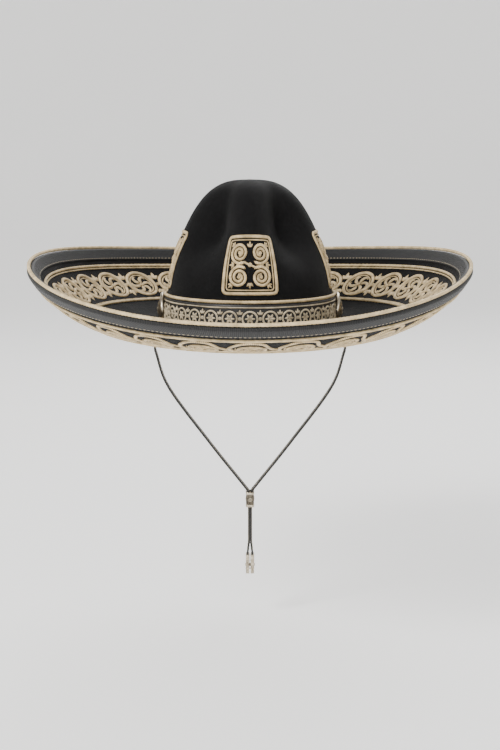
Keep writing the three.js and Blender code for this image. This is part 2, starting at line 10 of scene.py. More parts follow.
import bpy
import numpy as np
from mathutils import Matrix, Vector


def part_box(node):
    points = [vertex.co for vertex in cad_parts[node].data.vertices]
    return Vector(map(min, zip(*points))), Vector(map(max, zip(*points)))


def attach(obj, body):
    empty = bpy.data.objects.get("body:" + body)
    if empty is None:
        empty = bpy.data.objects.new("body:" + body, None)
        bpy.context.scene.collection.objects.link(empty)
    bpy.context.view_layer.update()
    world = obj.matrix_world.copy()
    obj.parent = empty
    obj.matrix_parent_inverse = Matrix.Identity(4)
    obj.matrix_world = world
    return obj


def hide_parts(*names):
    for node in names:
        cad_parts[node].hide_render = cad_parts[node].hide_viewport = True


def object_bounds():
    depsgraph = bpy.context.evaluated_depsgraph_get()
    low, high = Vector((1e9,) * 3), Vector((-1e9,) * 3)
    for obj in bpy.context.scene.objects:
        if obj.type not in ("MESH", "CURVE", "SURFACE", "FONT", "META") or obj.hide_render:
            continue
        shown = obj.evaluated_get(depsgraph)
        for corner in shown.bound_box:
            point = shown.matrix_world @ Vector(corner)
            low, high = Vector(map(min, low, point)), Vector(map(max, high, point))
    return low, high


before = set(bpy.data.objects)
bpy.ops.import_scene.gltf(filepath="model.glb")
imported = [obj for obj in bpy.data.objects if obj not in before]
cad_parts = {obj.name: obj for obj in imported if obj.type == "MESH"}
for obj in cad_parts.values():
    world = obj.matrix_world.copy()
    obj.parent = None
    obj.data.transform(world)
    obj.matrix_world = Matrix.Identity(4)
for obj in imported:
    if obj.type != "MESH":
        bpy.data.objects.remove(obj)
frame_low, frame_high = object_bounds()
MM = 0.001
QUARTER = math.pi / 2
TURN = 2 * math.pi

# %% [markdown]
# ## The surfaces that everything lies on
# A hat is two smooth surfaces, a crown and a brim, and every trim is laid on one of them. So each surface
# is written once, as a formula of a turn round the hat and a place up or out, in the frame's own sizes.
# Turn 0 is the front and a quarter turn is the wearer's left. Anything flat can then be bent onto the hat.

# %% The crown's surface
_, crown_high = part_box("crown_felt")
CROWN_HALF_BREADTH = crown_high[0]
CROWN_HALF_LENGTH = crown_high[1]
CROWN_HEIGHT = crown_high[2]
CROWN_SQUARENESS = 3
CROWN_TAPER = 0.22
FELT = 4 * MM
DENT_DEPTH = 36 * MM
DENT_DROP = 10 * MM
DENT_HEIGHT = CROWN_HEIGHT - 44 * MM
DENT_TALLNESS = 36 * MM
DENT_WIDENESS = math.radians(25)
DENT_TURNS = [math.radians(degrees) for degrees in (42, 137, -42, -137)]


def crown_face(turn, rise):
    """Points of the crown's outer face. Rise runs from 0 at the brim to a quarter turn at the peak."""
    climb = np.clip(rise, 0, QUARTER)
    height_share = np.sin(climb) ** (2 / CROWN_SQUARENESS)
    width_share = np.clip(np.cos(climb), 0, 1) ** (2 / CROWN_SQUARENESS)
    height = CROWN_HEIGHT * height_share
    dent = np.zeros_like(height)
    for dent_turn in DENT_TURNS:
        apart = np.arctan2(np.sin(turn - dent_turn), np.cos(turn - dent_turn))
        dent = dent + np.exp(-((apart / DENT_WIDENESS) ** 2) - ((height - DENT_HEIGHT) / DENT_TALLNESS) ** 2)
    taper = 1 - CROWN_TAPER * height_share**2
    spread = width_share * taper * (1 - DENT_DEPTH / CROWN_HALF_BREADTH * dent)
    x = CROWN_HALF_BREADTH * spread * np.sin(turn)
    y = -CROWN_HALF_LENGTH * spread * np.cos(turn)
    z = height - DENT_DROP * dent * width_share + np.minimum(rise, 0) * CROWN_HEIGHT
    return np.stack([x, y, z], axis=-1)


def crown_points(turn, rise, out):
    """The same points, moved straight out of the felt, or into it where out is negative."""
    step = 0.004
    middle = np.clip(rise, 2 * step, QUARTER - 2 * step)
    along_turn = crown_face(turn + step, middle) - crown_face(turn - step, middle)
    along_rise = crown_face(turn, middle + step) - crown_face(turn, middle - step)
    normal = np.cross(along_turn, along_rise)
    normal /= np.linalg.norm(normal, axis=-1, keepdims=True)
    near_peak = np.clip((rise - (QUARTER - 0.03)) / 0.03, 0, 1)[..., None]
    normal = normal * (1 - near_peak) + np.array([0, 0, 1]) * near_peak
    return crown_face(turn, rise) + normal * np.asarray(out)[..., None]


def rise_at(height):
    """The rise at which the crown's face reaches a height. Below the brim it is negative."""
    share = np.asarray(height) / CROWN_HEIGHT
    climb = np.arcsin(np.clip(share, 0, 1) ** (CROWN_SQUARENESS / 2))
    return np.where(share > 0, climb, share)


def crown_stride(turn):
    """Length along the band line of a radian of turn."""
    return math.hypot(CROWN_HALF_BREADTH * math.cos(turn), CROWN_HALF_LENGTH * math.sin(turn))


print("crown", round(CROWN_HALF_BREADTH * 2, 3), "by", round(CROWN_HALF_LENGTH * 2, 3), "m")

# %% The brim's surface
FIT_GAP = 0.3 * MM
BRIM_WIDTH = 172 * MM
BRIM_TOP = 3.15 * MM
BRIM_UNDER = -2.55 * MM
BRIM_CURL = 1.55
BRIM_END_SLOPE = {"front": 36, "side": 64, "back": 60}
BRIM_EARLY_SLOPE = {"front": -6, "side": 4, "back": 1}


def round_hat(value, turn):
    """Blends a value given at the front, the sides and the back."""
    ends = (value["front"] + value["back"]) / 2
    fore_and_aft = (value["front"] - value["back"]) / 2 * np.cos(turn)
    return (ends + value["side"]) / 2 + fore_and_aft + (ends - value["side"]) / 2 * np.cos(2 * turn)


def brim_slope(turn, reach):
    share = np.maximum(reach, 0) / BRIM_WIDTH
    early = np.maximum(0, 4 * share * (1 - share)) ** 2
    end = round_hat(BRIM_END_SLOPE, turn) * share**BRIM_CURL
    return np.radians(end + round_hat(BRIM_EARLY_SLOPE, turn) * early)


def brim_points(turn, reach, lift):
    """Points a reach out along the brim from the crown, lifted off the surface between its two felts."""
    strips = 16
    out = np.zeros(np.broadcast(turn, reach).shape)
    up = np.zeros_like(out)
    for strip in range(strips):
        slope = brim_slope(turn, reach * (strip + 0.5) / strips)
        out = out + np.cos(slope) * reach / strips
        up = up + np.sin(slope) * reach / strips
    end = brim_slope(turn, reach)
    half_breadth = CROWN_HALF_BREADTH + FIT_GAP
    half_length = CROWN_HALF_LENGTH + FIT_GAP
    facing = np.stack([np.sin(turn) / half_breadth, -np.cos(turn) / half_length], axis=-1)
    facing /= np.linalg.norm(facing, axis=-1, keepdims=True)
    away = out - np.sin(end) * lift
    x = half_breadth * np.sin(turn) + facing[..., 0] * away
    y = -half_length * np.cos(turn) + facing[..., 1] * away
    return np.stack([x, y, up + np.cos(end) * lift], axis=-1)


def brim_stride(reach):
    """Lengths round the hat along one reach, as turns and running lengths, to space trims evenly."""
    turns = np.linspace(0, TURN, 721)
    points = brim_points(turns, np.full_like(turns, reach), 0 * turns)
    steps = np.linalg.norm(np.diff(points, axis=0), axis=1)
    return turns, np.concatenate([[0], np.cumsum(steps)])


print("brim edge", round(brim_stride(BRIM_WIDTH)[1][-1], 3), "m round")

# %% [markdown]
# ## Shaping a piece
# Most pieces start as a grid, which is a sheet of squares with its own map of widths and lengths. The
# sheet is bent to its place by a formula, its two edges are welded where they meet, and a wall is added.
# The helpers below do those few steps, and a last one gives a piece its body and its finish.


# %% Pick a piece, read its corners, bend a grid
def deselect_all():
    if bpy.context.object and bpy.context.object.mode != "OBJECT":
        bpy.ops.object.mode_set(mode="OBJECT")
    bpy.ops.object.select_all(action="DESELECT")


def pick(piece):
    deselect_all()
    piece.select_set(True)
    bpy.context.view_layer.objects.active = piece


def corners(piece):
    flat = np.empty(len(piece.data.vertices) * 3)
    piece.data.vertices.foreach_get("co", flat)
    return flat.reshape(-1, 3)


def set_corners(piece, points):
    piece.data.vertices.foreach_set("co", np.asarray(points, dtype=float).ravel())
    piece.data.update()


def weld(piece, outward=True):
    """Merges the corners that meet, and turns a closed shell's faces outward."""
    pick(piece)
    bpy.ops.object.mode_set(mode="EDIT")
    bpy.ops.mesh.select_all(action="SELECT")
    bpy.ops.mesh.remove_doubles(threshold=1e-6)
    if outward:
        bpy.ops.mesh.normals_make_consistent(inside=False)
    bpy.ops.object.mode_set(mode="OBJECT")


def bent_grid(name, columns, rows, place, size=(1, 1)):
    """A grid whose two shares, along and across, are placed by a formula. Its map is size metres."""
    deselect_all()
    bpy.ops.mesh.primitive_grid_add(x_subdivisions=columns, y_subdivisions=rows, size=1)
    piece = bpy.context.object
    piece.name = name
    flat = corners(piece)
    set_corners(piece, place(flat[:, 0] + 0.5, flat[:, 1] + 0.5))
    sheet_map = piece.data.uv_layers.active.data
    places = np.empty(len(sheet_map) * 2)
    sheet_map.foreach_get("uv", places)
    sheet_map.foreach_set("uv", (places.reshape(-1, 2) * np.array(size)).ravel())
    return piece


print("ready: corners, set_corners, weld, bent_grid")


# %% Modifiers, joins and copies
def add_modifier(piece, kind, **settings):
    """Adds a modifier, sets it and applies it."""
    pick(piece)
    modifier = piece.modifiers.new(kind.title(), kind)
    for setting, value in settings.items():
        setattr(modifier, setting, value)
    bpy.ops.object.modifier_apply(modifier=modifier.name)


def eased(piece, width, segments=2, degrees=50):
    """Bevels the edges that are sharper than an angle."""
    add_modifier(piece, "BEVEL", width=width, segments=segments, limit_method="ANGLE",
                 angle_limit=math.radians(degrees))


def smooth(piece, degrees):
    pick(piece)
    bpy.ops.object.shade_smooth_by_angle(angle=math.radians(degrees))


def joined(name, pieces):
    """Joins pieces into one, under one name."""
    deselect_all()
    for piece in pieces:
        piece.select_set(True)
    bpy.context.view_layer.objects.active = pieces[0]
    if len(pieces) > 1:
        bpy.ops.object.join()
    pieces[0].name = name
    return pieces[0]


def moved(piece, by):
    set_corners(piece, corners(piece) + by)
    return piece


def laid_sideways(piece, hand=1):
    """Corners of an upright piece, turned so that its top faces left, or right where hand is -1."""
    upright = corners(piece)
    return np.stack([hand * upright[:, 2], hand * upright[:, 0], upright[:, 1]], axis=1)


def copy_of(piece):
    twin = piece.copy()
    twin.data = piece.data.copy()
    bpy.context.collection.objects.link(twin)
    return twin


print("ready: add_modifier, joined, copy_of")


# %% Dress a piece and seat it
def dressed(piece, *materials):
    """Gives a piece its finishes, and takes away any that it had."""
    piece.data.materials.clear()
    for material in materials:
        piece.data.materials.append(material)
    return piece


def seat(piece, body, slot, materials, *nodes, angle=None):
    """Smooths a finished piece, gives it its body and finish, and hides the frame's nodes that it stands for.
    The slot is not used.
    """
    if angle:
        smooth(piece, angle)
    if not isinstance(materials, (list, tuple)):
        materials = [materials]
    if len(piece.data.materials) != len(materials):
        dressed(piece, *materials)
    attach(piece, body)
    if nodes:
        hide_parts(*nodes)
    print(piece.name, len(piece.data.polygons), "faces on", body)


# %% [markdown]
# ## Finishes
# A finish is a small network of nodes. Each reads the place on the object or the piece's own map, so that
# nap, thread and grain stay put when the hat moves. The helpers keep the wiring short: a grain makes a
# pattern, a mix turns it into two colours or two numbers, and a bump lifts it.


# %% A new finish and its patterns
def new_finish(name, color, roughness, metallic=0.0, **settings):
    """A material with one shader, whose even values are set on the shader's own sockets."""
    material = bpy.data.materials.new(name)
    material.use_nodes = True
    shader = material.node_tree.nodes["Principled BSDF"]
    shader.inputs["Base Color"].default_value = (*color, 1)
    shader.inputs["Roughness"].default_value = roughness
    shader.inputs["Metallic"].default_value = metallic
    for socket, value in settings.items():
        shader.inputs[socket.replace("_", " ")].default_value = value
    return material


def places(material, kind="Object", stretch=(1, 1, 1)):
    """Coordinates for a pattern: the place in the object, or the piece's own map."""
    tree = material.node_tree
    source = tree.nodes.new("ShaderNodeTexCoord")
    mapping = tree.nodes.new("ShaderNodeMapping")
    mapping.inputs["Scale"].default_value = stretch
    tree.links.new(source.outputs[kind], mapping.inputs["Vector"])
    return mapping.outputs["Vector"]


def noise(material, where, size, detail=4.0, rough=0.6, warp=0.0):
    """Cloudy noise with features of a size in metres."""
    node = material.node_tree.nodes.new("ShaderNodeTexNoise")
    node.inputs["Scale"].default_value = 1 / size
    node.inputs["Detail"].default_value = detail
    node.inputs["Roughness"].default_value = rough
    node.inputs["Distortion"].default_value = warp
    material.node_tree.links.new(where, node.inputs["Vector"])
    return node.outputs["Fac"]


def ribs(material, where, pitch, direction="X", warp=0.0):
    """Parallel ribs at a pitch in metres."""
    node = material.node_tree.nodes.new("ShaderNodeTexWave")
    node.bands_direction = direction
    node.inputs["Scale"].default_value = math.pi / 10 / pitch
    node.inputs["Distortion"].default_value = warp
    node.inputs["Detail"].default_value = 1.0
    material.node_tree.links.new(where, node.inputs["Vector"])
    return node.outputs["Fac"]


def cells(material, where, size, feature="F1"):
    """Rounded cells of a size in metres, as in leather grain."""
    node = material.node_tree.nodes.new("ShaderNodeTexVoronoi")
    node.feature = feature
    node.inputs["Scale"].default_value = 1 / size
    material.node_tree.links.new(where, node.inputs["Vector"])
    return node.outputs["Distance"]


print("patterns: noise, ribs, cells")


# %% Turn a pattern into color, roughness or relief
def blend_to(material, pattern, low, high, socket, start=0.3, end=0.7):
    """Runs a socket of the shader from a low to a high value as a pattern rises."""
    tree = material.node_tree
    shader = tree.nodes["Principled BSDF"]
    if isinstance(low, tuple):
        ramp = tree.nodes.new("ShaderNodeValToRGB")
        ramp.color_ramp.elements[0].position = start
        ramp.color_ramp.elements[0].color = (*low, 1)
        ramp.color_ramp.elements[1].position = end
        ramp.color_ramp.elements[1].color = (*high, 1)
        tree.links.new(pattern, ramp.inputs["Fac"])
        tree.links.new(ramp.outputs["Color"], shader.inputs[socket])
        return ramp.outputs["Color"]
    span = tree.nodes.new("ShaderNodeMapRange")
    span.inputs["From Min"].default_value = start
    span.inputs["From Max"].default_value = end
    span.inputs["To Min"].default_value = low
    span.inputs["To Max"].default_value = high
    tree.links.new(pattern, span.inputs["Value"])
    tree.links.new(span.outputs["Result"], shader.inputs[socket])
    return span.outputs["Result"]


def lift(material, *layers):
    """Stacks bumps, each a pattern with its depth in metres."""
    tree = material.node_tree
    normal = None
    for pattern, depth in layers:
        bump = tree.nodes.new("ShaderNodeBump")
        bump.inputs["Strength"].default_value = 1.0
        bump.inputs["Distance"].default_value = depth
        tree.links.new(pattern, bump.inputs["Height"])
        if normal:
            tree.links.new(normal, bump.inputs["Normal"])
        normal = bump.outputs["Normal"]
    tree.links.new(normal, tree.nodes["Principled BSDF"].inputs["Normal"])


print("ready: blend_to, lift")

# %% [markdown]
# ### Felt, thread, leather and metal
# Wool felt is fibres matted in every direction, so its nap is a fine warped noise with a soft sheen and
# faint brushed patches. Satin-stitched thread shows ribs across the cord, with painted shade between them.
# Leather has pebbled cells, silver a dark tone where polish never reaches, and ribbon a rib across its
# length, darker in its hollows by painted shade.


# %% Felt and ribbon
def felt_finish(name, dark, light):
    material = new_finish(name, light, 0.92, Sheen_Weight=0.05, Sheen_Roughness=0.4, Specular_IOR_Level=0.10)
    where = places(material)
    nap = noise(material, where, 1.2 * MM, 6, 0.8, 1.8)
    patches = noise(material, where, 38 * MM, 3, 0.55, 0.6)
    fleck = noise(material, places(material, stretch=(1, 2, 1)), 3.0 * MM, 8, 0.75, 2.0)
    blend_to(material, fleck, dark, light, "Base Color", 0.36, 0.66)
    blend_to(material, patches, 0.80, 0.97, "Roughness")
    lift(material, (patches, 0.8 * MM), (fleck, 0.35 * MM), (nap, 0.40 * MM))
    return material


def ribbon_finish():
    material = new_finish("Grosgrain ribbon", (0.008, 0.008, 0.0085), 0.6,
                          Sheen_Weight=0.04, Specular_IOR_Level=0.3)
    where = places(material, "UV")
    rib = ribs(material, where, 1.7 * MM, "X", 0.4)
    # Painted shade: the ribbon's colour is darker where the rib sinks, following the same rib as its relief.
    blend_to(material, rib, (0.002, 0.002, 0.002), (0.013, 0.013, 0.0135), "Base Color", 0.1, 0.9)
    lift(material, (rib, 0.35 * MM), (noise(material, places(material), 0.5 * MM), 0.05 * MM))
    return material


felt = felt_finish("Black wool felt", (0.0016, 0.0016, 0.0017), (0.0080, 0.0078, 0.0080))
ribbon = ribbon_finish()
print("made", felt.name, "and", ribbon.name)


# %% Thread, cord and satin
def thread_finish(name, shade, tint, pitch, groove):
    """Lustrous thread, wound or stitched across a cord. The map's first axis runs along the cord. Groove is
    the colour left by the painted shade in the hollows between stitches.
    """
    material = new_finish(name, tint, 0.5, 0.12, Sheen_Weight=0.1, Sheen_Tint=(*tint, 1))
    where = places(material, "UV")
    thread = ribs(material, where, pitch, "X", 0.3)
    tone = noise(material, places(material), 9 * MM, 4, 0.6)
    tree = material.node_tree
    mix = tree.nodes.new("ShaderNodeMix")
    mix.data_type = "RGBA"
    mix.blend_type = "MULTIPLY"
    mix.inputs["Factor"].default_value = 0.75
    color = blend_to(material, tone, shade, tint, "Base Color", 0.3, 0.65)
    # Painted shade: where the ribs sink between the stitches, the thread's colour is multiplied down towards
    # the groove value.
    painted_groove_shade = tree.nodes.new("ShaderNodeValToRGB")
    painted_groove_shade.color_ramp.elements[0].color = (groove, groove * 0.94, groove * 0.86, 1)
    painted_groove_shade.color_ramp.elements[0].position = 0.05
    painted_groove_shade.color_ramp.elements[1].color = (1, 1, 1, 1)
    painted_groove_shade.color_ramp.elements[1].position = 0.5
    tree.links.new(thread, painted_groove_shade.inputs["Fac"])
    tree.links.new(color, mix.inputs[6])
    tree.links.new(painted_groove_shade.outputs["Color"], mix.inputs[7])
    tree.links.new(mix.outputs[2], tree.nodes["Principled BSDF"].inputs["Base Color"])
    blend_to(material, thread, 0.62, 0.40, "Roughness", 0.2, 0.9)
    lift(material, (thread, 0.22 * MM), (noise(material, places(material), 0.6 * MM), 0.06 * MM))
    return material


def satin_finish():
    material = new_finish("Old gold satin", (0.24, 0.20, 0.13), 0.36, Sheen_Weight=0.3, Anisotropic=0.5)
    where = places(material, "UV")
    warp = ribs(material, where, 0.35 * MM, "X", 1.0)
    cloud = noise(material, places(material), 30 * MM, 3, 0.5, 0.8)
    blend_to(material, cloud, (0.17, 0.14, 0.09), (0.30, 0.25, 0.165), "Base Color")
    blend_to(material, warp, 0.30, 0.44, "Roughness")
    lift(material, (cloud, 0.6 * MM), (warp, 0.03 * MM))
    return material


# The last number of each thread is the colour left by the painted shade in the hollows between its stitches.
stitching = thread_finish("Couched thread", (0.37, 0.27, 0.135), (0.86, 0.66, 0.365), 1.1 * MM, 0.28)
fine_thread = thread_finish("Fine thread", (0.38, 0.31, 0.20), (0.80, 0.67, 0.46), 0.8 * MM, 0.36)
cord_thread = thread_finish("Twisted cord", (0.50, 0.375, 0.195), (0.90, 0.71, 0.41), 0.5 * MM, 0.66)
satin = satin_finish()


def sewing_finish():
    """Plain waxed thread for sewn stitches, which are too small for ribs."""
    material = new_finish("Sewing thread", (0.56, 0.47, 0.31), 0.55, Sheen_Weight=0.1)
    fibre = noise(material, places(material), 0.5 * MM, 3)
    blend_to(material, fibre, (0.44, 0.36, 0.23), (0.64, 0.54, 0.37), "Base Color")
    lift(material, (fibre, 0.08 * MM))
    return material


sewing = sewing_finish()
print("made", ", ".join(finish.name for finish in (stitching, fine_thread, cord_thread, satin, sewing)))


# %% Leather
def leather_finish(name, dark, light, roughness, grain=1.1 * MM, depth=0.12 * MM):
    material = new_finish(name, light, roughness,
                          Coat_Weight=0.05, Coat_Roughness=0.4, Specular_IOR_Level=0.38)
    where = places(material)
    pebble = cells(material, where, grain)
    crease = noise(material, where, 6 * MM, 5, 0.65, 1.2)
    worn = noise(material, where, 26 * MM, 4, 0.6)
    blend_to(material, worn, dark, light, "Base Color", 0.35, 0.75)
    blend_to(material, crease, roughness - 0.1, roughness + 0.12, "Roughness")
    lift(material, (crease, 0.12 * MM), (pebble, depth))
    return material


band_leather = leather_finish("Band leather", (0.006, 0.0058, 0.0057), (0.016, 0.0148, 0.0142), 0.5)
strap_leather = leather_finish("Strap leather", (0.004, 0.0037, 0.0034), (0.013, 0.0112, 0.0098), 0.5)
sweat_leather = leather_finish("Sweatband leather", (0.060, 0.028, 0.013), (0.145, 0.073, 0.036), 0.5,
                               0.9 * MM)
print("made", ", ".join(finish.name for finish in (band_leather, strap_leather, sweat_leather)))


# %% Metal
def silver_finish(name, dark, light, roughness, scratch=0.35):
    material = new_finish(name, light, roughness, 1.0)
    where = places(material)
    patina = noise(material, where, 3 * MM, 5, 0.55, 0.4)
    brushed = noise(material, places(material, stretch=(1, 14, 1)), 1.2 * MM, 3, 0.5)
    blend_to(material, patina, dark, light, "Base Color", 0.32, 0.6)
    blend_to(material, brushed, roughness - 0.07, roughness + 0.12, "Roughness")
    lift(material, (patina, 0.10 * MM * scratch), (brushed, 0.05 * MM * scratch))
    return material


silver = silver_finish("Antique silver", (0.22, 0.185, 0.135), (0.56, 0.495, 0.385), 0.30)
dark_silver = silver_finish("Darkened silver", (0.035, 0.030, 0.024), (0.15, 0.128, 0.098), 0.5, 1.0)
steel = silver_finish("Drawn steel", (0.32, 0.32, 0.32), (0.55, 0.55, 0.55), 0.35)
print("finishes", len(bpy.data.materials))

# %% [markdown]
# ## Blocked felt: crown, brim and facing
# The crown is one hood of felt steamed over a block, with four deep pinches. A sheet is bent to the
# crown's outer face and a wall of felt is added inside it. The brim is two felts with a wire between
# their edges, so it takes two thinner sheets. The felts are fine enough that the dents stay round.


# %% The felts
def crown_sheet(name, columns, rows, out, low_rise=None, high_rise=QUARTER):
    """A sheet that follows the crown at a distance out from its face."""
    foot = float(rise_at(BRIM_UNDER)) if low_rise is None else low_rise

    def place(along, up):
        return crown_points(along * TURN, foot + (high_rise - foot) * up, np.full_like(up, out))

    piece = bent_grid(name, columns, rows, place, (0.63, 0.17))
    weld(piece, outward=False)
    return piece


def brim_sheet(name, columns, rows, lift_off, inner, outer, face_down=False):
    """A sheet that follows the brim at a lift off its middle."""

    def place(along, across):
        share = 1 - across if not face_down else across
        return brim_points(along * TURN, inner + (outer - inner) * share, np.full_like(across, lift_off))

    piece = bent_grid(name, columns, rows, place, (1.3, outer - inner))
    weld(piece, outward=False)
    return piece


def walled(piece, thickness, edge=0.0):
    """Adds a wall behind the sheet's face, with an edge rounded by the radius given."""
    add_modifier(piece, "SOLIDIFY", thickness=thickness, offset=-1.0, use_even_offset=False)
    if edge:
        eased(piece, edge)
    smooth(piece, 50)
    return piece


BRIM_FELT = 3 * MM
FACING_FELT = 2.4 * MM
crown = walled(crown_sheet("crown", 192, 72, 0.0), FELT)
seat(crown, "hat", "felt", felt, "crown_felt")
brim = walled(brim_sheet("brim", 256, 48, BRIM_TOP, 0.0, BRIM_WIDTH), BRIM_FELT)
seat(brim, "hat", "felt", felt, "brim_felt")
facing = brim_sheet("underbrim", 256, 48, BRIM_UNDER, 0.0, BRIM_WIDTH, face_down=True)
walled(facing, FACING_FELT)
seat(facing, "hat", "felt", felt, "underbrim_facing")

# %% [markdown]
# ## Ropes
# A rope is strands wound round each other. Each strand could be a tube of its own, but only their outer
# faces show, so one sheet with a fluted, twisting section does for all of them. It goes all the way round
# the hat and keeps a map along its length, so that the thread's ribs are the same size everywhere.


# %% A rope round the hat
def rope_round(name, center, length, radius, pitch, strands=3, sides=18, step=1.3 * MM):
    """A rope that closes on itself round the hat. Center places a spot of its section at a turn."""
    columns = int(length / step)
    winds = round(length / pitch)

    def place(share, turn_share):
        angle = turn_share * TURN
        wound = angle - share * TURN * winds
        bulge = radius * (0.62 + 0.38 * np.abs(np.cos(wound * strands / 2)) ** 0.6)
        return center(share * TURN, bulge * np.cos(angle), bulge * np.sin(angle))

    piece = bent_grid(name, columns, sides, place, (length, TURN * radius))
    weld(piece)
    smooth(piece, 60)
    return piece


print("ready: rope_round")

# %% [markdown]
# ## Bound edge
# The brim's raw edge is wrapped in ribbed ribbon over the wire, stitched down on both faces, and finished
# with a rope on the very rim. The ribbon is a sheet bent round a U-shaped section.

# %% The wire
WIRE = 2.2 * MM
BRIM_MIDDLE = (BRIM_TOP + BRIM_UNDER) / 2
WIRE_REACH = BRIM_WIDTH + FIT_GAP + WIRE / 2
HEM = 12 * MM
BINDING_START = BRIM_WIDTH - HEM
BINDING = 1.2 * MM
EDGE_REACH = WIRE_REACH + WIRE / 2 + FIT_GAP
CORD = 2 * MM
ROPE_PITCH = 11 * MM
EDGE_CORD_REACH = EDGE_REACH + BINDING + FIT_GAP + CORD
EDGE_ROUND = brim_stride(EDGE_CORD_REACH)[1][-1]


def wire_place(share, turn_share):
    angle = turn_share * TURN
    across = WIRE / 2 * np.cos(angle)
    up = WIRE / 2 * np.sin(angle)
    return brim_points(share * TURN, WIRE_REACH + across, BRIM_MIDDLE + up)


wire = bent_grid("brim_wire_round", 256, 10, wire_place)
weld(wire)
seat(wire, "hat", "steel", steel, "brim_wire", angle=60)


# %% The binding and the edge cord
def binding_outline():
    """The ribbon's outer face, from the under hem round the edge to the top hem, as reach and lift."""
    top = BRIM_TOP + FIT_GAP + BINDING
    under = BRIM_UNDER - 2 * FIT_GAP - BINDING
    half = (top - under) / 2
    middle = (top + under) / 2
    bend = [(EDGE_REACH + BINDING - half * 0.62 + half * 0.62 * math.cos(a), middle + half * math.sin(a))
            for a in np.linspace(-QUARTER, QUARTER, 13)]
    hem = [BINDING_START + HEM * share for share in (0.0, 0.06, 0.2, 0.5, 0.8)]
    lower = [(reach, under + (0.7 * MM if reach == BINDING_START else 0)) for reach in hem]
    upper = [(reach, top - (0.7 * MM if reach == BINDING_START else 0)) for reach in reversed(hem)]
    return np.array(lower + bend + upper)


outline = binding_outline()


def binding_place(share, across):
    point = outline[np.rint(across * (len(outline) - 1)).astype(int)]
    return brim_points(share * TURN, point[:, 0], point[:, 1])


binding = bent_grid("brim_binding", 320, len(outline) - 1, binding_place, (EDGE_ROUND, 34 * MM))
weld(binding, outward=False)
walled(binding, 0.9 * MM)
seat(binding, "hat", "binding", ribbon, "edge_binding")


def along_brim(reach, lift_off):
    """Where a rope's section lies on the brim."""
    return lambda turn, across, up: brim_points(turn, reach + across, lift_off + up)


edge_rope = rope_round("brim_rope", along_brim(EDGE_CORD_REACH, BRIM_MIDDLE), EDGE_ROUND, CORD, ROPE_PITCH)
seat(edge_rope, "hat", "cord", cord_thread, "edge_cord")


# %% One stitch, and how a flat piece is laid along a line
def stitch_seed(length=3.0 * MM, width=0.55 * MM):
    """One sewn stitch: a small bead drawn out long and low."""
    deselect_all()
    bpy.ops.mesh.primitive_uv_sphere_add(segments=6, ring_count=4, radius=1)
    bpy.ops.transform.rotate(value=QUARTER, orient_axis="Y", center_override=(0, 0, 0))
    bpy.ops.transform.resize(value=(length / 2, width / 2, width / 2), center_override=(0, 0, 0))
    bpy.ops.object.transform_apply(location=True, rotation=True, scale=True)
    bead = bpy.context.object
    bead.name = "stitch"
    return bead


def laid(name, seed, spots, place):
    """Copies a flat piece to each spot and bends it there. A spot is how far along the line it sits."""
    flat = corners(seed)
    pieces = []
    for spot in spots:
        twin = copy_of(seed)
        set_corners(twin, place(spot, flat))
        pieces.append(twin)
    bpy.data.objects.remove(seed)
    return joined(name, pieces)


def on_brim(reach, lift_off, under=False):
    """Bends a flat piece onto the brim: x runs round it, y out along it, z away from its face."""
    turns, run = brim_stride(reach)
    sign = -1 if under else 1

    def place(spot, flat):
        turn = np.interp((spot * run[-1] - sign * flat[:, 0]) % run[-1], run, turns)
        return brim_points(turn, reach + flat[:, 1], lift_off + sign * flat[:, 2])

    return place, run[-1]


print("ready: stitch_seed, laid, on_brim")


# %% The binding's stitches
def sewn_round_brim(name, reach, lift_off, under=False, pitch=4.6 * MM):
    place, length = on_brim(reach, lift_off, under)
    count = int(length / pitch)
    return laid(name, stitch_seed(), [k / count for k in range(count)], place)


hem_stitches = joined("binding_stitches", [
    sewn_round_brim("hem_top", BINDING_START + 1.8 * MM, BRIM_TOP + FIT_GAP + BINDING),
    sewn_round_brim("hem_under", BINDING_START + 1.8 * MM, BRIM_UNDER - 2 * FIT_GAP - BINDING, under=True),
])
seat(hem_stitches, "hat", "applique", sewing, angle=80)

# %% [markdown]
# ## Strokes
# Charro embroidery is cord and padded satin stitch laid in rings and spirals. A stroke is a soft rounded
# cord along a flat line, fat in the middle and drawn in at its ends. A bevelled curve could make it too,
# but a grid also gives it a map along its length, as the ropes have.


# %% A stroke
def stroke(points, width, height, sides=8, taper=None, sink=0.3):
    """A closed, rounded cord along a flat line of points. It stands on the flat, sunk a little into it."""
    line = np.asarray(points, dtype=float)
    steps = np.linalg.norm(np.diff(line, axis=0), axis=1)
    run = np.concatenate([[0], np.cumsum(steps)])
    along = np.gradient(line, axis=0)
    along /= np.linalg.norm(along, axis=1, keepdims=True)
    square = np.stack([-along[:, 1], along[:, 0]], axis=1)
    closed = np.linalg.norm(line[0] - line[-1]) < 1e-7
    if closed:
        square[0] = square[-1] = (square[0] + square[-1]) / np.linalg.norm(square[0] + square[-1])
        full = np.ones(len(line))
    else:
        cap = width / 2
        ends = np.clip(np.minimum(run, run[-1] - run) / cap, 0, 1)
        full = np.sqrt(np.clip(1 - (1 - ends) ** 2, 0, 1))
    if taper is not None:
        full = full * taper(run / run[-1])

    def place(share, turn_share):
        station = np.rint(share * (len(line) - 1)).astype(int)
        angle = turn_share * TURN
        side = np.cos(angle) * width / 2 * full[station]
        rise = height * (0.5 - sink + 0.5 * np.sin(angle)) * full[station]
        flat = line[station] + square[station] * side[:, None]
        return np.stack([flat[:, 0], flat[:, 1], rise], axis=-1)

    piece = bent_grid("stroke", len(line) - 1, sides, place, (run[-1], width * 1.5))
    weld(piece)
    return piece


print("ready: stroke")


# %% Lines for strokes
def arc(center, radius, start, end, step=2.2 * MM):
    """Points along an arc, from one angle in degrees to another."""
    count = max(4, int(abs(math.radians(end - start)) * radius / step))
    angles = np.radians(np.linspace(start, end, count + 1))
    return np.stack([center[0] + radius * np.cos(angles), center[1] + radius * np.sin(angles)], axis=1)


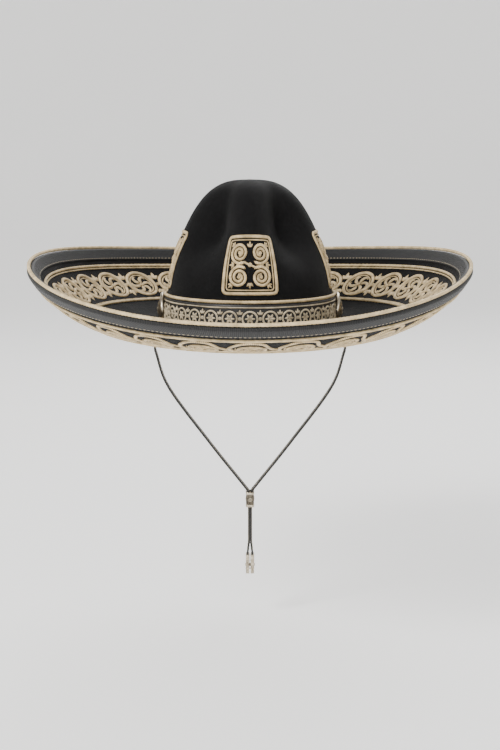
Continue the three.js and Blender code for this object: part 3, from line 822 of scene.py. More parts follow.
def spiral(center, outer, inner, start, turns, hand=1, step=2.2 * MM):
    """Points of a spiral that winds in from an outer to an inner radius."""
    count = int(abs(turns) * TURN * (outer + inner) / 2 / step)
    share = np.linspace(0, 1, count + 1)
    angles = math.radians(start) + hand * TURN * turns * share
    radius = outer + (inner - outer) * share**0.9
    return np.stack([center[0] + radius * np.cos(angles), center[1] + radius * np.sin(angles)], axis=1)


def curve_through(points, count=16):
    """A smooth line through a few points."""
    knots = np.asarray(points, dtype=float)
    shares = np.linspace(0, len(knots) - 1, count + 1)
    padded = np.concatenate([[2 * knots[0] - knots[1]], knots, [2 * knots[-1] - knots[-2]]])
    base = np.clip(shares.astype(int), 0, len(knots) - 2)
    t = (shares - base)[:, None]
    a, b, c, d = (padded[base + k] for k in range(4))
    return 0.5 * (2 * b + (c - a) * t + (2 * a - 5 * b + 4 * c - d) * t**2 + (3 * b - a - 3 * c + d) * t**3)


print("a spiral's line has", len(spiral((0, 0), 9 * MM, 2 * MM, 0, 2)), "points")

# %% [markdown]
# ## Rosettes on the brim
# The brim's upper face carries a row of rosettes. Each is a thick padded ring with a thin one inside it,
# round a flower of six curled leaves, and three-lobed buds fill the gaps above and below. One rosette with
# its pair of buds is drawn flat, and copies are bent onto the brim all the way round.

# %% Rings, flowers and buds
GRECA_OUTER = BRIM_WIDTH - 19 * MM
GRECA_INNER = GRECA_OUTER - 66 * MM
GRECA_MIDDLE = (GRECA_OUTER + GRECA_INNER) / 2
ROSETTES = 28
rosette_pitch = brim_stride(GRECA_MIDDLE)[1][-1] / ROSETTES
ROSETTE = rosette_pitch / 2 - 2.4 * MM


def leaf_taper(share):
    """A leaf's fullness along its length: a quick swell and a long point."""
    return np.sin(np.pi * share**0.62) ** 0.75 * 0.92 + 0.08


def turned_about(points, degrees):
    """Flat points turned about the middle."""
    angle = math.radians(degrees)
    flat = np.asarray(points)
    return np.stack([flat[:, 0] * math.cos(angle) - flat[:, 1] * math.sin(angle),
                     flat[:, 0] * math.sin(angle) + flat[:, 1] * math.cos(angle)], axis=1)


def ring_of(radius, width, height, center=(0, 0), step=2.4 * MM):
    points = arc(center, radius, 0, 360, step)
    points[-1] = points[0]
    return stroke(points, width, height)


def flower(leaf, leaves, radius, width, height):
    """Leaves round a small knob. A leaf is a few points, as shares of the flower's radius."""
    pieces = []
    for k in range(leaves):
        points = curve_through(turned_about(np.array(leaf) * radius, 360 / leaves * k), 12)
        pieces.append(stroke(points, radius * width, height, sides=7, taper=leaf_taper))
    pieces.append(ring_of(radius * 0.10, radius * 0.22, height * 1.15, step=0.9 * MM))
    return pieces


def bud(center, size, degrees):
    """Three lobes that open from one point."""
    pieces = []
    for lean, reach in ((-46, 0.82), (0, 1.0), (46, 0.82)):
        points = turned_about(curve_through([[0, 0], [0, 0.5 * size * reach], [0, size * reach]], 7), lean)
        points = turned_about(points, degrees) + center
        pieces.append(stroke(points, size * 0.46, 1.9 * MM, sides=7, taper=leaf_taper))
    return pieces


print("rosettes", ROSETTES, "of", round(2000 * ROSETTE, 1), "mm")


# %% One rosette, laid all round the brim
def rosette():
    """A thick ring and a thin one round a flower, with a bead and two buds to one side."""
    pieces = [ring_of(ROSETTE - 2.1 * MM, 4.4 * MM, 2.5 * MM),
              ring_of(ROSETTE - 6.2 * MM, 1.7 * MM, 1.5 * MM)]
    curled = [[0.18, 0.02], [0.50, 0.20], [0.84, 0.16], [0.99, -0.12], [0.84, -0.26]]
    pieces += flower(curled, 6, ROSETTE - 8.0 * MM, 0.33, 2.3 * MM)
    half = rosette_pitch / 2
    pieces += bud((half, 9.5 * MM), 11 * MM, 0) + bud((half, -9.5 * MM), 11 * MM, 180)
    pieces.append(ring_of(1.5 * MM, 2.6 * MM, 2.6 * MM, (half, 0), 1.1 * MM))
    return joined("rosette", pieces)


top_place, _ = on_brim(GRECA_MIDDLE, BRIM_TOP)
spots = [k / ROSETTES for k in range(ROSETTES)]
rosettes = laid("brim_rosettes", rosette(), spots, top_place)
seat(rosettes, "hat", "applique", stitching, "brim_greca_top", angle=80)


# %% Ropes that edge the ring
def thin_rope(center, length, radius, pitch):
    return rope_round("border", center, length, radius, pitch, strands=2, sides=6, step=2.4 * MM)


def border_ropes(name, under, lift_off):
    """The thick ropes that edge an applique ring, with a thin cord beside each."""
    pieces = []
    side = -1 if under else 1
    for reach, inward in ((GRECA_OUTER - 1.6 * MM, -1), (GRECA_INNER + 1.6 * MM, 1)):
        length = brim_stride(reach)[1][-1]
        thick = along_brim(reach, lift_off + side * 0.9 * MM)
        pieces.append(rope_round("border", thick, length, 1.7 * MM, 9 * MM, sides=10, step=2.0 * MM))
        thin = along_brim(reach + inward * 3.4 * MM, lift_off + side * 0.5 * MM)
        pieces.append(thin_rope(thin, length, 0.95 * MM, 6 * MM))
    return joined(name, pieces)


top_border = border_ropes("brim_border_top", False, BRIM_TOP)
seat(top_border, "hat", "cord", cord_thread, angle=60)

# %% [markdown]
# ## Running scrolls under the brim
# The facing under the brim shows when the hat is worn, so it is embroidered too, with a wave of spirals.
# Each spiral's tail sweeps over to the next one, and a bud and a bead fill the hollow that it leaves.


# %% The running scroll
def running_scroll():
    radius = rosette_pitch * 0.40
    tail = curve_through([[-radius, 0], [-radius * 0.96, radius * 0.55], [-radius * 0.35, radius * 1.22],
                          [radius * 0.55, radius * 1.20], [rosette_pitch - radius * 1.5, radius * 0.35],
                          [rosette_pitch - radius, 0]], 26)
    coil = spiral((0, 0), radius, 3.2 * MM, 180, 2.15, 1)
    pieces = [stroke(np.concatenate([coil[::-1], tail[1:]]), 3.9 * MM, 2.4 * MM)]
    inner = spiral((0, 0), radius - 4.2 * MM, 6.4 * MM, 150, 1.35, 1)
    pieces.append(stroke(inner, 1.3 * MM, 1.3 * MM, sides=6))
    pieces.append(ring_of(1.3 * MM, 2.5 * MM, 2.4 * MM, (0, 0), 1.0 * MM))
    pieces += bud((rosette_pitch / 2, -radius * 0.62), 12.5 * MM, 180)
    pieces += bud((-radius * 0.05, radius * 1.22), 8.5 * MM, -24)
    return joined("scroll", pieces)


under_place, _ = on_brim(GRECA_MIDDLE - 2 * MM, BRIM_UNDER, under=True)
scrolls = laid("underbrim_scrolls", running_scroll(), spots, under_place)
seat(scrolls, "hat", "applique", stitching, "brim_greca_under", angle=80)
under_border = border_ropes("brim_border_under", True, BRIM_UNDER)
seat(under_border, "hat", "cord", cord_thread, angle=60)

# %% [markdown]
# ## Four-spiral panels on the crown
# Four square panels sit on the crown's front, back and sides, between the dents. Each holds four spirals
# back to back inside a double frame, with an S-shaped bar across its middle and small corner leaves.

# %% Places on the crown, and the panel's frame
LOWER_CORD = BRIM_TOP + 0.6 * MM + CORD
BAND_FOOT = LOWER_CORD + CORD + FIT_GAP
BAND_TOP = BAND_FOOT + 30 * MM
BAND_MIDDLE = (BAND_FOOT + BAND_TOP) / 2
UPPER_CORD = BAND_TOP + FIT_GAP + CORD
PANEL = 64 * MM
PANEL_FOOT = UPPER_CORD + CORD + 5 * MM


def rounded_square(half, corner, step=2.4 * MM):
    """Points round a square with rounded corners, closed on itself."""
    points = []
    for k, (sx, sy) in enumerate(((1, 1), (-1, 1), (-1, -1), (1, -1))):
        points.append(arc((sx * (half - corner), sy * (half - corner)), corner, 90 * k, 90 * k + 90, step))
    loop = np.concatenate(points + [points[0][:1]])
    steps = np.linalg.norm(np.diff(loop, axis=0), axis=1)
    run = np.concatenate([[0], np.cumsum(steps)])
    even = np.linspace(0, run[-1], int(run[-1] / step) + 1)
    loop = np.stack([np.interp(even, run, loop[:, 0]), np.interp(even, run, loop[:, 1])], axis=1)
    loop[-1] = loop[0]
    return loop


print("panel", round(1000 * PANEL), "mm, from", round(1000 * PANEL_FOOT, 1), "mm up")


# %% Draw the panel and bend it onto the crown
def panel():
    half = PANEL / 2
    pieces = [stroke(rounded_square(half - 2 * MM, 4 * MM), 3.6 * MM, 2.4 * MM),
              stroke(rounded_square(half - 5.6 * MM, 2.5 * MM), 1.4 * MM, 1.4 * MM)]
    spot = half * 0.395
    radius = half * 0.365
    for sx in (-1, 1):
        for sy in (-1, 1):
            start = math.degrees(math.atan2(-sy, -sx))
            coil = spiral((sx * spot, sy * spot), radius, 2.2 * MM, start, 2.2, sx * sy, 1.8 * MM)
            pieces.append(stroke(coil, 3.3 * MM, 2.4 * MM))
            pieces.append(ring_of(1.1 * MM, 2.1 * MM, 2.4 * MM, (sx * spot, sy * spot), 0.9 * MM))
            leaf_spot = (sx * (half - 11.6 * MM), sy * (half - 11.6 * MM))
            pieces += bud(leaf_spot, 5.6 * MM, math.degrees(math.atan2(sy, sx)) - 90)
    for turned_by in (0, 90, 180, 270):
        pieces += bud(turned_about([[0, half - 13.2 * MM]], turned_by)[0], 6.4 * MM, turned_by)
    bar = curve_through([[-0.52, -0.06], [-0.30, 0.09], [0.0, 0.0], [0.30, -0.09], [0.52, 0.06]], 20)
    pieces.append(stroke(bar * half, 2.4 * MM, 2.2 * MM))
    pieces.append(ring_of(1.4 * MM, 2.6 * MM, 2.8 * MM, (0, 0), 1.0 * MM))
    return joined("panel", pieces)


def on_crown(turn, height, out):
    """Bends a flat piece onto the crown round a turn and a height."""
    stride = crown_stride(turn)

    def place(flat):
        return crown_points(turn + flat[:, 0] / stride, rise_at(height + flat[:, 1]), out + flat[:, 2])

    return place


flat_panel = panel()
for side, turn in (("front", 0), ("left", QUARTER), ("back", math.pi), ("right", -QUARTER)):
    bent = copy_of(flat_panel)
    bent.name = "crown_panel_" + side
    set_corners(bent, on_crown(turn, PANEL_FOOT + PANEL / 2, 0.0)(corners(flat_panel)))
    seat(bent, "hat", "applique", stitching, "crown_greca_" + side, angle=80)
bpy.data.objects.remove(flat_panel)

# %% [markdown]
# ## The band and its conchos
# The band is a leather strap, embroidered like the belt of a charro suit, held between two ropes. Its
# ends meet under an oval silver concho on each side. A concho is turned: a circle is drawn, then extruded
# and resized from ring to ring, which makes the raised rim, the groove and the domed field.


# %% The band and its ropes
def crown_band(name, low, high, out, columns=192, rows=10):
    """A sheet round the crown between two heights, with its long edges drawn in."""

    def place(along, up):
        height = low + (high - low) * up
        edge = np.minimum(up, 1 - up) * (high - low)
        drawn = 0.9 * MM * np.clip(1 - edge / (1.2 * MM), 0, 1) ** 2
        return crown_points(along * TURN, rise_at(height), out - drawn)

    return bent_grid(name, columns, rows, place, (0.64, high - low))


BAND_FACE = FIT_GAP + 2.4 * MM
band = crown_band("band_leather_strap", BAND_FOOT, BAND_TOP, BAND_FACE, rows=24)
weld(band, outward=False)
walled(band, 1.5 * MM)
seat(band, "hat", "band_leather", band_leather, "hat_band")


def along_crown(height, out):
    """Where a rope's section lies on the crown's wall."""

    def place(turn, across, up):
        wall = crown_points(turn, rise_at(np.full_like(turn, height)), out + across)
        return wall + np.stack([0 * up, 0 * up, up], axis=-1)

    return place


crown_girth = TURN * math.sqrt((CROWN_HALF_BREADTH**2 + CROWN_HALF_LENGTH**2) / 2)
for name, height in (("lower", LOWER_CORD), ("upper", UPPER_CORD)):
    rope = rope_round("band_rope_" + name, along_crown(height, FIT_GAP + CORD), crown_girth, CORD, ROPE_PITCH)
    seat(rope, "hat", "cord", cord_thread, "band_cord_" + name)

# %% The band's embroidery
LINKS = 30
link_pitch = crown_girth / LINKS


def band_link():
    """One link of the band's pattern: a small rosette, with a bead and two buds after it."""
    pieces = [ring_of(7.6 * MM, 2.0 * MM, 1.5 * MM, step=1.8 * MM)]
    pieces += flower([[0.16, 0], [0.6, 0], [1.04, 0]], 6, 5.4 * MM, 0.5, 1.5 * MM)
    half = link_pitch / 2
    for side in (-1, 1):
        pieces += bud((half, side * 4.2 * MM), 5.4 * MM, 0 if side > 0 else 180)
    pieces.append(ring_of(1.1 * MM, 1.9 * MM, 1.7 * MM, (half, 0), 0.9 * MM))
    return joined("link", pieces)


def round_crown(height, out):
    turns = np.linspace(0, TURN, 721)
    points = crown_points(turns, rise_at(np.full_like(turns, height)), 0 * turns)
    run = np.concatenate([[0], np.cumsum(np.linalg.norm(np.diff(points, axis=0), axis=1))])

    def place(spot, flat):
        turn = np.interp((spot * run[-1] + flat[:, 0]) % run[-1], run, turns)
        return crown_points(turn, rise_at(height + flat[:, 1]), out + flat[:, 2])

    return place


link_spots = [k / LINKS for k in range(LINKS)]
links = laid("band_embroidery", band_link(), link_spots, round_crown(BAND_MIDDLE, BAND_FACE))
for side in (-1, 1):
    edge = along_crown(BAND_MIDDLE + side * 11.6 * MM, BAND_FACE + 0.35 * MM)
    links = joined("band_embroidery", [links, thin_rope(edge, crown_girth, 0.8 * MM, 5 * MM)])
seat(links, "hat", "applique", fine_thread, angle=80)


# %% [markdown]
# ### Conchos
# The raised ornament on a concho could be carved or bump mapped. It is laid on as real petals and beads,
# because its rim and flower catch the light at the hat's side. Grooves get the darker of two silvers.


# %% Turned metal
def turned(name, profile, steps=48):
    """A round piece about Z: a circle is extruded and resized from one point of its profile to the next."""
    deselect_all()
    radius, height = profile[0]
    bpy.ops.mesh.primitive_circle_add(vertices=steps, radius=max(radius, 1e-5), location=(0, 0, height))
    piece = bpy.context.object
    piece.name = name
    bpy.ops.object.transform_apply(location=True, rotation=False, scale=False)
    bpy.ops.object.mode_set(mode="EDIT")
    bpy.ops.mesh.select_mode(type="VERT")
    bpy.ops.mesh.select_all(action="SELECT")
    for next_radius, next_height in profile[1:]:
        grow = max(next_radius, 1e-5) / max(radius, 1e-5)
        bpy.ops.mesh.extrude_region_move(TRANSFORM_OT_translate={"value": (0, 0, next_height - height)})
        bpy.ops.transform.resize(value=(grow, grow, 1), center_override=(0, 0, next_height))
        radius, height = next_radius, next_height
    bpy.ops.mesh.select_all(action="SELECT")
    bpy.ops.mesh.remove_doubles(threshold=3e-5)
    bpy.ops.mesh.normals_make_consistent(inside=False)
    bpy.ops.object.mode_set(mode="OBJECT")
    return piece


def from_rim(radius, foot, profile):
    """A profile given in millimetres, in from a rim and up from a foot."""
    return [(radius - inward * MM, foot + up * MM) for inward, up in profile]


def pin(radius, foot, top, steps):
    """A plain round post."""
    return turned("post", [(0.0, foot), (radius, foot), (radius, top), (0.0, top)], steps)


def bead(radius, center, flatten=1.0, segments=10):
    deselect_all()
    bpy.ops.mesh.primitive_uv_sphere_add(segments=segments, ring_count=6, radius=radius, location=center)
    bpy.ops.transform.resize(value=(1, 1, flatten), center_override=center)
    bpy.ops.object.transform_apply(location=True, rotation=False, scale=True)
    return bpy.context.object


def darken(piece, test):
    """Gives the faces that a test picks the piece's second finish."""
    for face in piece.data.polygons:
        if test(face.center):
            face.material_index = 1


print("ready: turned, pin, bead, darken")


# %% Petals on a dome
def domed_petals(leaf, count, stops, width, height, radius, dome):
    """Petals laid on a dome, a little sunk. Leaf is a petal's middle line in millimetres."""
    petals = []
    for k in range(count):
        line = turned_about(curve_through(np.array(leaf) * MM, stops), 360 / count * k)
        petal = stroke(line, width, height, taper=leaf_taper)
        flat = corners(petal)
        flat[:, 2] += dome(np.hypot(flat[:, 0], flat[:, 1]) / radius) - 0.2 * MM
        set_corners(petal, flat)
        petals.append(petal)
    return petals


print("ready: domed_petals")

# %% The conchos
CONCHO = 22 * MM
CONCHO_BEADS = 36
CONCHO_SQUASH = 36 / 44
POST = 1.6 * MM
CONCHO_FOOT = FIT_GAP + 2 * CORD + FIT_GAP


def concho_dome(share):
    """Height of a concho's field at a share of its radius."""
    return (3.0 + 1.9 * np.sqrt(np.clip(1 - (np.asarray(share) / 0.72) ** 2, 0, 1))) * MM


def concho():
    """A round plate, flat on its back: rim, groove, domed field, a ring of beads and a petalled flower."""
    radius = CONCHO
    dome = [(radius * share, float(concho_dome(share))) for share in (0.66, 0.56, 0.45, 0.32, 0.18, 0.0)]
    rim = from_rim(radius, 0, [(0.6, 0), (0, 0.5), (0, 1.6), (0.5, 2.9), (1.7, 3.5), (3.0, 3.2),
                               (3.7, 2.1), (4.5, 1.9), (5.6, 2.4)])
    plate = turned("concho", [(0.0, 0.0), *rim, (radius * 0.70, 3.0 * MM), *dome], 64)
    dressed(plate, silver, dark_silver)

    def recessed(at):
        reach = math.hypot(at[0], at[1])
        return radius - 5.2 * MM < reach < radius - 2.9 * MM or reach < radius * 0.66

    darken(plate, recessed)
    pieces = [plate]
    groove = radius - 4.1 * MM
    for angle in [TURN * k / CONCHO_BEADS for k in range(CONCHO_BEADS)]:
        at = (groove * math.cos(angle), groove * math.sin(angle), 2.5 * MM)
        pieces.append(bead(0.95 * MM, at, 1.0, 8))
    pieces += domed_petals([[2.0, 0], [6.5, 0.6], [11.4, 0]], 8, 10, 4.6 * MM, 1.5 * MM, radius, concho_dome)
    pieces.append(bead(2.3 * MM, (0, 0, 5.2 * MM), 0.6, 16))
    for piece in pieces[1:]:
        dressed(piece, silver)
    return joined("concho", pieces)


flat_concho = concho()
for side, turn in (("left", QUARTER), ("right", -QUARTER)):
    bent = copy_of(flat_concho)
    bent.name = "concho_face_" + side
    flat = corners(flat_concho) * (1, CONCHO_SQUASH, 1)
    set_corners(bent, on_crown(turn, BAND_MIDDLE, CONCHO_FOOT)(flat))
    post = pin(POST, -0.2 * MM, 10.5 * MM, 24)
    root = crown_points(np.array([turn]), rise_at(np.array([BAND_MIDDLE])), np.array([-5.4 * MM]))[0]
    set_corners(post, root + laid_sideways(post, 1 if side == "left" else -1))
    dressed(post, dark_silver)
    bent = joined("concho_face_" + side, [bent, post])
    seat(bent, "hat", "silver", [silver, dark_silver], "concho_" + side, angle=50)
bpy.data.objects.remove(flat_concho)

# %% [markdown]
# ## Inside the crown
# Inside, the wearer meets a leather sweatband with a reed at its foot and a small bow at its back. Above
# it the crown is lined in satin: a strip gathered into pleats round the side, and a smooth tip on top.
# Each of them follows the crown's own surface, set in by the thickness of what lies behind it.

# %% The conchos' nuts
for side, hand in (("left", 1), ("right", -1)):
    nut_low, nut_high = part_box("concho_nut_" + side)
    middle = [(a + b) / 2 for a, b in zip(nut_low, nut_high)]
    half = (nut_high[0] - nut_low[0]) / 2
    profile = [(1.9, -1.0), (3.5, -1.0), (4.0, -0.5), (4.0, 0.5), (3.5, 1.0), (1.9, 1.0), (1.9, -1.0)]
    nut = turned("concho_nut_ring_" + side, [(radius * MM, along * half) for radius, along in profile], 32)
    set_corners(nut, laid_sideways(nut, hand) + middle)
    seat(nut, "hat", "steel", steel, "concho_nut_" + side, angle=40)

# %% Sweatband and reed
SWEATBAND_DEPTH = 5.8 * MM
SWEATBAND = 1.6 * MM
sweat_low, sweat_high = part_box("sweatband")
sweatband = crown_band("sweatband_leather_strip", sweat_low[2], sweat_high[2], -SWEATBAND_DEPTH, rows=20)
weld(sweatband, outward=False)
walled(sweatband, SWEATBAND, 0.4 * MM)
seat(sweatband, "hat", "sweat_leather", sweat_leather, "sweatband")

reed_low, reed_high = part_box("sweatband_reed")
REED = (reed_high[2] - reed_low[2]) / 2
reed_center = along_crown((reed_high[2] + reed_low[2]) / 2, -4.9 * MM)


def reed_place(share, turn_share):
    angle = turn_share * TURN
    return reed_center(share * TURN, REED * np.cos(angle), REED * np.sin(angle))


reed = bent_grid("sweatband_reed_welt", 360, 10, reed_place, (0.6, 4 * MM))
weld(reed)
seat(reed, "hat", "sweat_leather", sweat_leather, "sweatband_reed", angle=60)


# %% The sweatband's seams
def inside_crown(turn, height, depth):
    """Bends a flat piece onto the wall's inner side, facing the wearer."""
    stride = crown_stride(turn)

    def place(flat):
        return crown_points(turn - flat[:, 0] / stride, rise_at(height + flat[:, 1]), -depth - flat[:, 2])

    return place


def sewn_inside(name, height, depth, pitch=4.2 * MM):
    count = int(crown_girth / pitch)
    spots = [TURN * k / count for k in range(count)]
    seed = stitch_seed(2.6 * MM)
    return laid(name, seed, spots, lambda spot, flat: inside_crown(spot, height, depth)(flat))


INNER_FACE = SWEATBAND_DEPTH + SWEATBAND
seams = joined("sweatband_stitches", [sewn_inside("seam_top", sweat_high[2] - 3.2 * MM, INNER_FACE),
                                      sewn_inside("seam_foot", sweat_low[2] + 4.0 * MM, INNER_FACE)])
seat(seams, "hat", "applique", sewing, angle=80)


# %% The bow at the back
def puff(share):
    """A loop's fullness: drawn in at the knot and wide at its far end."""
    return 0.45 + 0.55 * share


def bow():
    """Two puffed loops and two tails of ribbon, drawn into a knot."""
    pieces = []
    for side in (-1, 1):
        for lean in (1.5, -1.5):
            bends = np.array([[-2, 0], [5, lean * 0.6], [11, lean * 1.3], [14, lean * 0.9]])
            loop = curve_through(bends * (side * MM, MM), 16)
            pieces.append(stroke(loop, 5.6 * MM, 1.7 * MM, sides=12, taper=puff, sink=0.1))
        tail = curve_through(np.array([[0, 0], [3.2, -3.4], [7.2, -5.9]]) * (side * MM, MM), 10)
        pieces.append(stroke(tail, 3.4 * MM, 0.8 * MM, sides=8, sink=0.1))
    knot = curve_through(np.array([[0, -3.2], [0, 0], [0, 3.2]]) * MM, 8)
    pieces.append(stroke(knot, 4.4 * MM, 2.4 * MM, sides=12, sink=0.1))
    return joined("sweatband_ribbon_bow", pieces)


bow_piece = bow()
bow_low, bow_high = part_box("sweatband_bow")
bow_height = (bow_low[2] + bow_high[2]) / 2
at_back = inside_crown(math.pi, bow_height, INNER_FACE + FIT_GAP)
set_corners(bow_piece, at_back(corners(bow_piece)))
seat(bow_piece, "hat", "satin", satin, "sweatband_bow", angle=60)

# %% [markdown]
# ### Lining
# A lining could be simulated as cloth. A fitted one is held at both edges and hardly moves, so a wave on
# the sheet's depth gives the same folds, and they stay the same at every pose.

# %% The satin lining
side_low, side_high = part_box("crown_lining_side")
LINING_DEPTH = 4.5 * MM
LINING = 0.35 * MM
PLEATS = 84
seam_height = side_high[2]


def pleated(along, up):
    height = side_low[2] + (seam_height - side_low[2]) * up
    sway = 0.35 * np.sin(up * 3.1 + along * TURN * 3)
    fold = np.abs(np.sin((along * PLEATS + sway * 0.6) * math.pi)) ** 0.8
    return crown_points(along * TURN, rise_at(height), -LINING_DEPTH - 1.7 * MM * fold)


lining_side = bent_grid("lining_side_satin", PLEATS * 8, 26, pleated, (0.95, 0.11))
weld(lining_side, outward=False)
add_modifier(lining_side, "SOLIDIFY", thickness=LINING, offset=-1.0)
seat(lining_side, "hat", "satin", satin, "crown_lining_side", angle=60)


def tip_place(along, up):
    start = float(rise_at(seam_height)) + 0.004
    rise = start + (QUARTER - start) * up
    gather = np.abs(np.sin(along * PLEATS * math.pi)) ** 0.8 * np.exp(-up / 0.16) * (1 - up)
    return crown_points(along * TURN, rise, -LINING_DEPTH - 1.5 * MM * gather)


lining_tip = bent_grid("lining_tip_satin", PLEATS * 4, 22, tip_place, (0.45, 0.09))
weld(lining_tip, outward=False)
add_modifier(lining_tip, "SOLIDIFY", thickness=LINING, offset=-1.0)
seat(lining_tip, "hat", "satin", satin, "crown_lining_tip", angle=60)
seam_cord = rope_round("lining_seam_cord", along_crown(seam_height + 0.4 * MM, -LINING_DEPTH - 1.9 * MM),
                       crown_girth * 0.6, 0.9 * MM, 7 * MM, strands=2, sides=8, step=1.8 * MM)
seat(seam_cord, "hat", "satin", satin)

# %% [markdown]
# ## The chin strap
# A leather strap hangs from a rivet on each side, below a domed stud on the brim. Both tails run through
# one slider and end in folded silver tips. The strap is a long grid bent along its line with a thin wall,
# the metal is turned or made from a block, and every part of it rides on the body that it moves with.

# %% Blocks and plates
stud_low, stud_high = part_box("strap_stud_left")
_, lug_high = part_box("strap_lug_left")
rivet_low, rivet_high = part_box("strap_rivet_left")
STUD_OUT = (stud_low[0] + stud_high[0]) / 2
STUD_RADIUS = (stud_high[0] - stud_low[0]) / 2
STUD_FOOT = stud_high[2] - 5 * MM
RIVET_HEIGHT = (rivet_low[2] + rivet_high[2]) / 2
STRAP_WIDTH = 12 * MM
STRAP = 2 * MM


def pick_edges(piece, test):
    """Opens a piece in edit mode with only the edges that a test picks selected."""
    pick(piece)
    bpy.ops.object.mode_set(mode="EDIT")
    bpy.ops.mesh.select_mode(type="EDGE")
    bpy.ops.mesh.select_all(action="DESELECT")
    bpy.ops.object.mode_set(mode="OBJECT")
    points = corners(piece)
    for edge in piece.data.edges:
        edge.select = bool(test(points[edge.vertices[0]], points[edge.vertices[1]]))
    bpy.ops.object.mode_set(mode="EDIT")


def block(name, size, height):
    """A box of a size, its middle at a height."""
    deselect_all()
    bpy.ops.mesh.primitive_cube_add(size=1, location=(0, 0, height))
    bpy.ops.transform.resize(value=size, center_override=(0, 0, height))
    bpy.ops.object.transform_apply(location=True, rotation=True, scale=True)
    bpy.context.object.name = name
    return bpy.context.object


def rounded_plate(name, thickness, width, foot, top, edge=0.35 * MM):
    """A block whose lower end is cut round, with its edges eased."""
    piece = block(name, (thickness, width, top - foot), (foot + top) / 2)
    pick_edges(piece, lambda a, b: abs(a[0] - b[0]) > thickness / 2 and a[2] < foot + 1e-6)
    bpy.ops.mesh.bevel(offset=width / 2 * 0.999, segments=10, affect="EDGES")
    bpy.ops.object.mode_set(mode="OBJECT")
    eased(piece, edge)
    return piece


def mirrored(piece, hand):
    """Puts a piece made for the left on the right, where hand is -1."""
    set_corners(piece, corners(piece) * (hand, 1, 1))
    weld(piece)
    return piece


print("stud", round(2000 * STUD_RADIUS, 1), "mm across, rivet at", round(1000 * RIVET_HEIGHT, 1), "mm")


# %% Draw the stud
def stud_dome(share):
    """Height of a stud's dome at a share of its radius."""
    return STUD_FOOT + (1.1 + 3.5 * np.sqrt(1 - np.asarray(share) ** 2)) * MM


def stud():
    """A domed head with a rim, a flower on it, and the post that goes down through both felts."""
    dome = [(STUD_RADIUS * share, float(stud_dome(share))) for share in (0.70, 0.58, 0.45, 0.3, 0.15, 0.0)]
    rim = from_rim(STUD_RADIUS, STUD_FOOT, [(0.5, 0), (0, 0.4), (0, 1.2), (0.6, 2.0), (1.3, 1.9), (1.8, 1.3)])
    head = turned("stud", [(0.0, STUD_FOOT), *rim, *dome], 48)
    dressed(head, silver, dark_silver)
    darken(head, lambda at: at[2] > STUD_FOOT + 1 * MM and
           math.hypot(at[0], at[1]) < STUD_RADIUS - 1.2 * MM)
    pieces = [head]
    pieces += domed_petals([[1.4, 0], [3.4, 0.2], [5.5, 0]], 7, 8, 3.2 * MM, 1.1 * MM, STUD_RADIUS, stud_dome)
    pieces.append(bead(1.5 * MM, (0, 0, stud_high[2] - 0.5 * MM), 0.5, 14))
    pieces.append(pin(POST, stud_low[2], STUD_FOOT + MM, 20))
    for piece in pieces[1:]:
        dressed(piece, silver)
    return joined("stud", pieces)


print("ready: stud")


# %% Lugs and rivets, and all three on both sides
def lug():
    """A round base with a socket, and a flat plate with a round end below it, where the rivet sits."""
    top = lug_high[2]
    base = [(0, 3.4), (6.3, 3.4), (7, 2.7), (7, 0.3), (6.7, 0), (1.9, 0), (1.9, 2), (0, 2)]
    base = turned("lug", [(radius * MM, top - down * MM) for radius, down in base], 40)
    plate = rounded_plate("plate", STRAP, STRAP_WIDTH, RIVET_HEIGHT - STRAP_WIDTH / 2, top - 2.6 * MM)
    return joined("lug", [base, plate])


def rivet():
    """A shank along X with a domed head at each end, made upright and then laid down."""
    start, end = rivet_low[0], rivet_high[0]
    cap = [(1.3, 0.0), (2.9, 0.3), (3.5, 0.85), (3.5, 1.2), (1.5, 1.2)]
    near = [(radius * MM, start + along * MM) for radius, along in cap]
    far = [(radius * MM, end - along * MM) for radius, along in reversed(cap)]
    piece = turned("rivet", [(0.0, start), *near, *far, (0.0, end)], 28)
    set_corners(piece, laid_sideways(piece) + (0, 0, RIVET_HEIGHT))
    return piece


for side, hand in (("left", 1), ("right", -1)):
    studded = moved(stud(), (hand * STUD_OUT, 0, 0))
    studded.name = "brim_stud_" + side
    seat(studded, "hat", "silver", [silver, dark_silver], "strap_stud_" + side, angle=50)
    hung = moved(lug(), (hand * STUD_OUT, 0, 0))
    hung.name = "brim_lug_" + side
    seat(hung, "hat", "silver", silver, "strap_lug_" + side, angle=40)
    pinned = mirrored(rivet(), hand)
    pinned.name = "lug_rivet_" + side
    seat(pinned, "chin_strap", "silver", silver, "strap_rivet_" + side, angle=40)

# %% The strap's line
slider_low, slider_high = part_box("strap_slider")
strap_low, strap_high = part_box("chin_strap_left")
tip_metal_low, tip_metal_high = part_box("strap_tip_left")
STRAP_OUT = strap_high[0] - STRAP / 2
STRAP_IN = (FIT_GAP + STRAP) / 2
TIP_OUT = (tip_metal_low[0] + tip_metal_high[0]) / 2
STRAP_END = strap_low[2]
SLIDE = 40 * MM


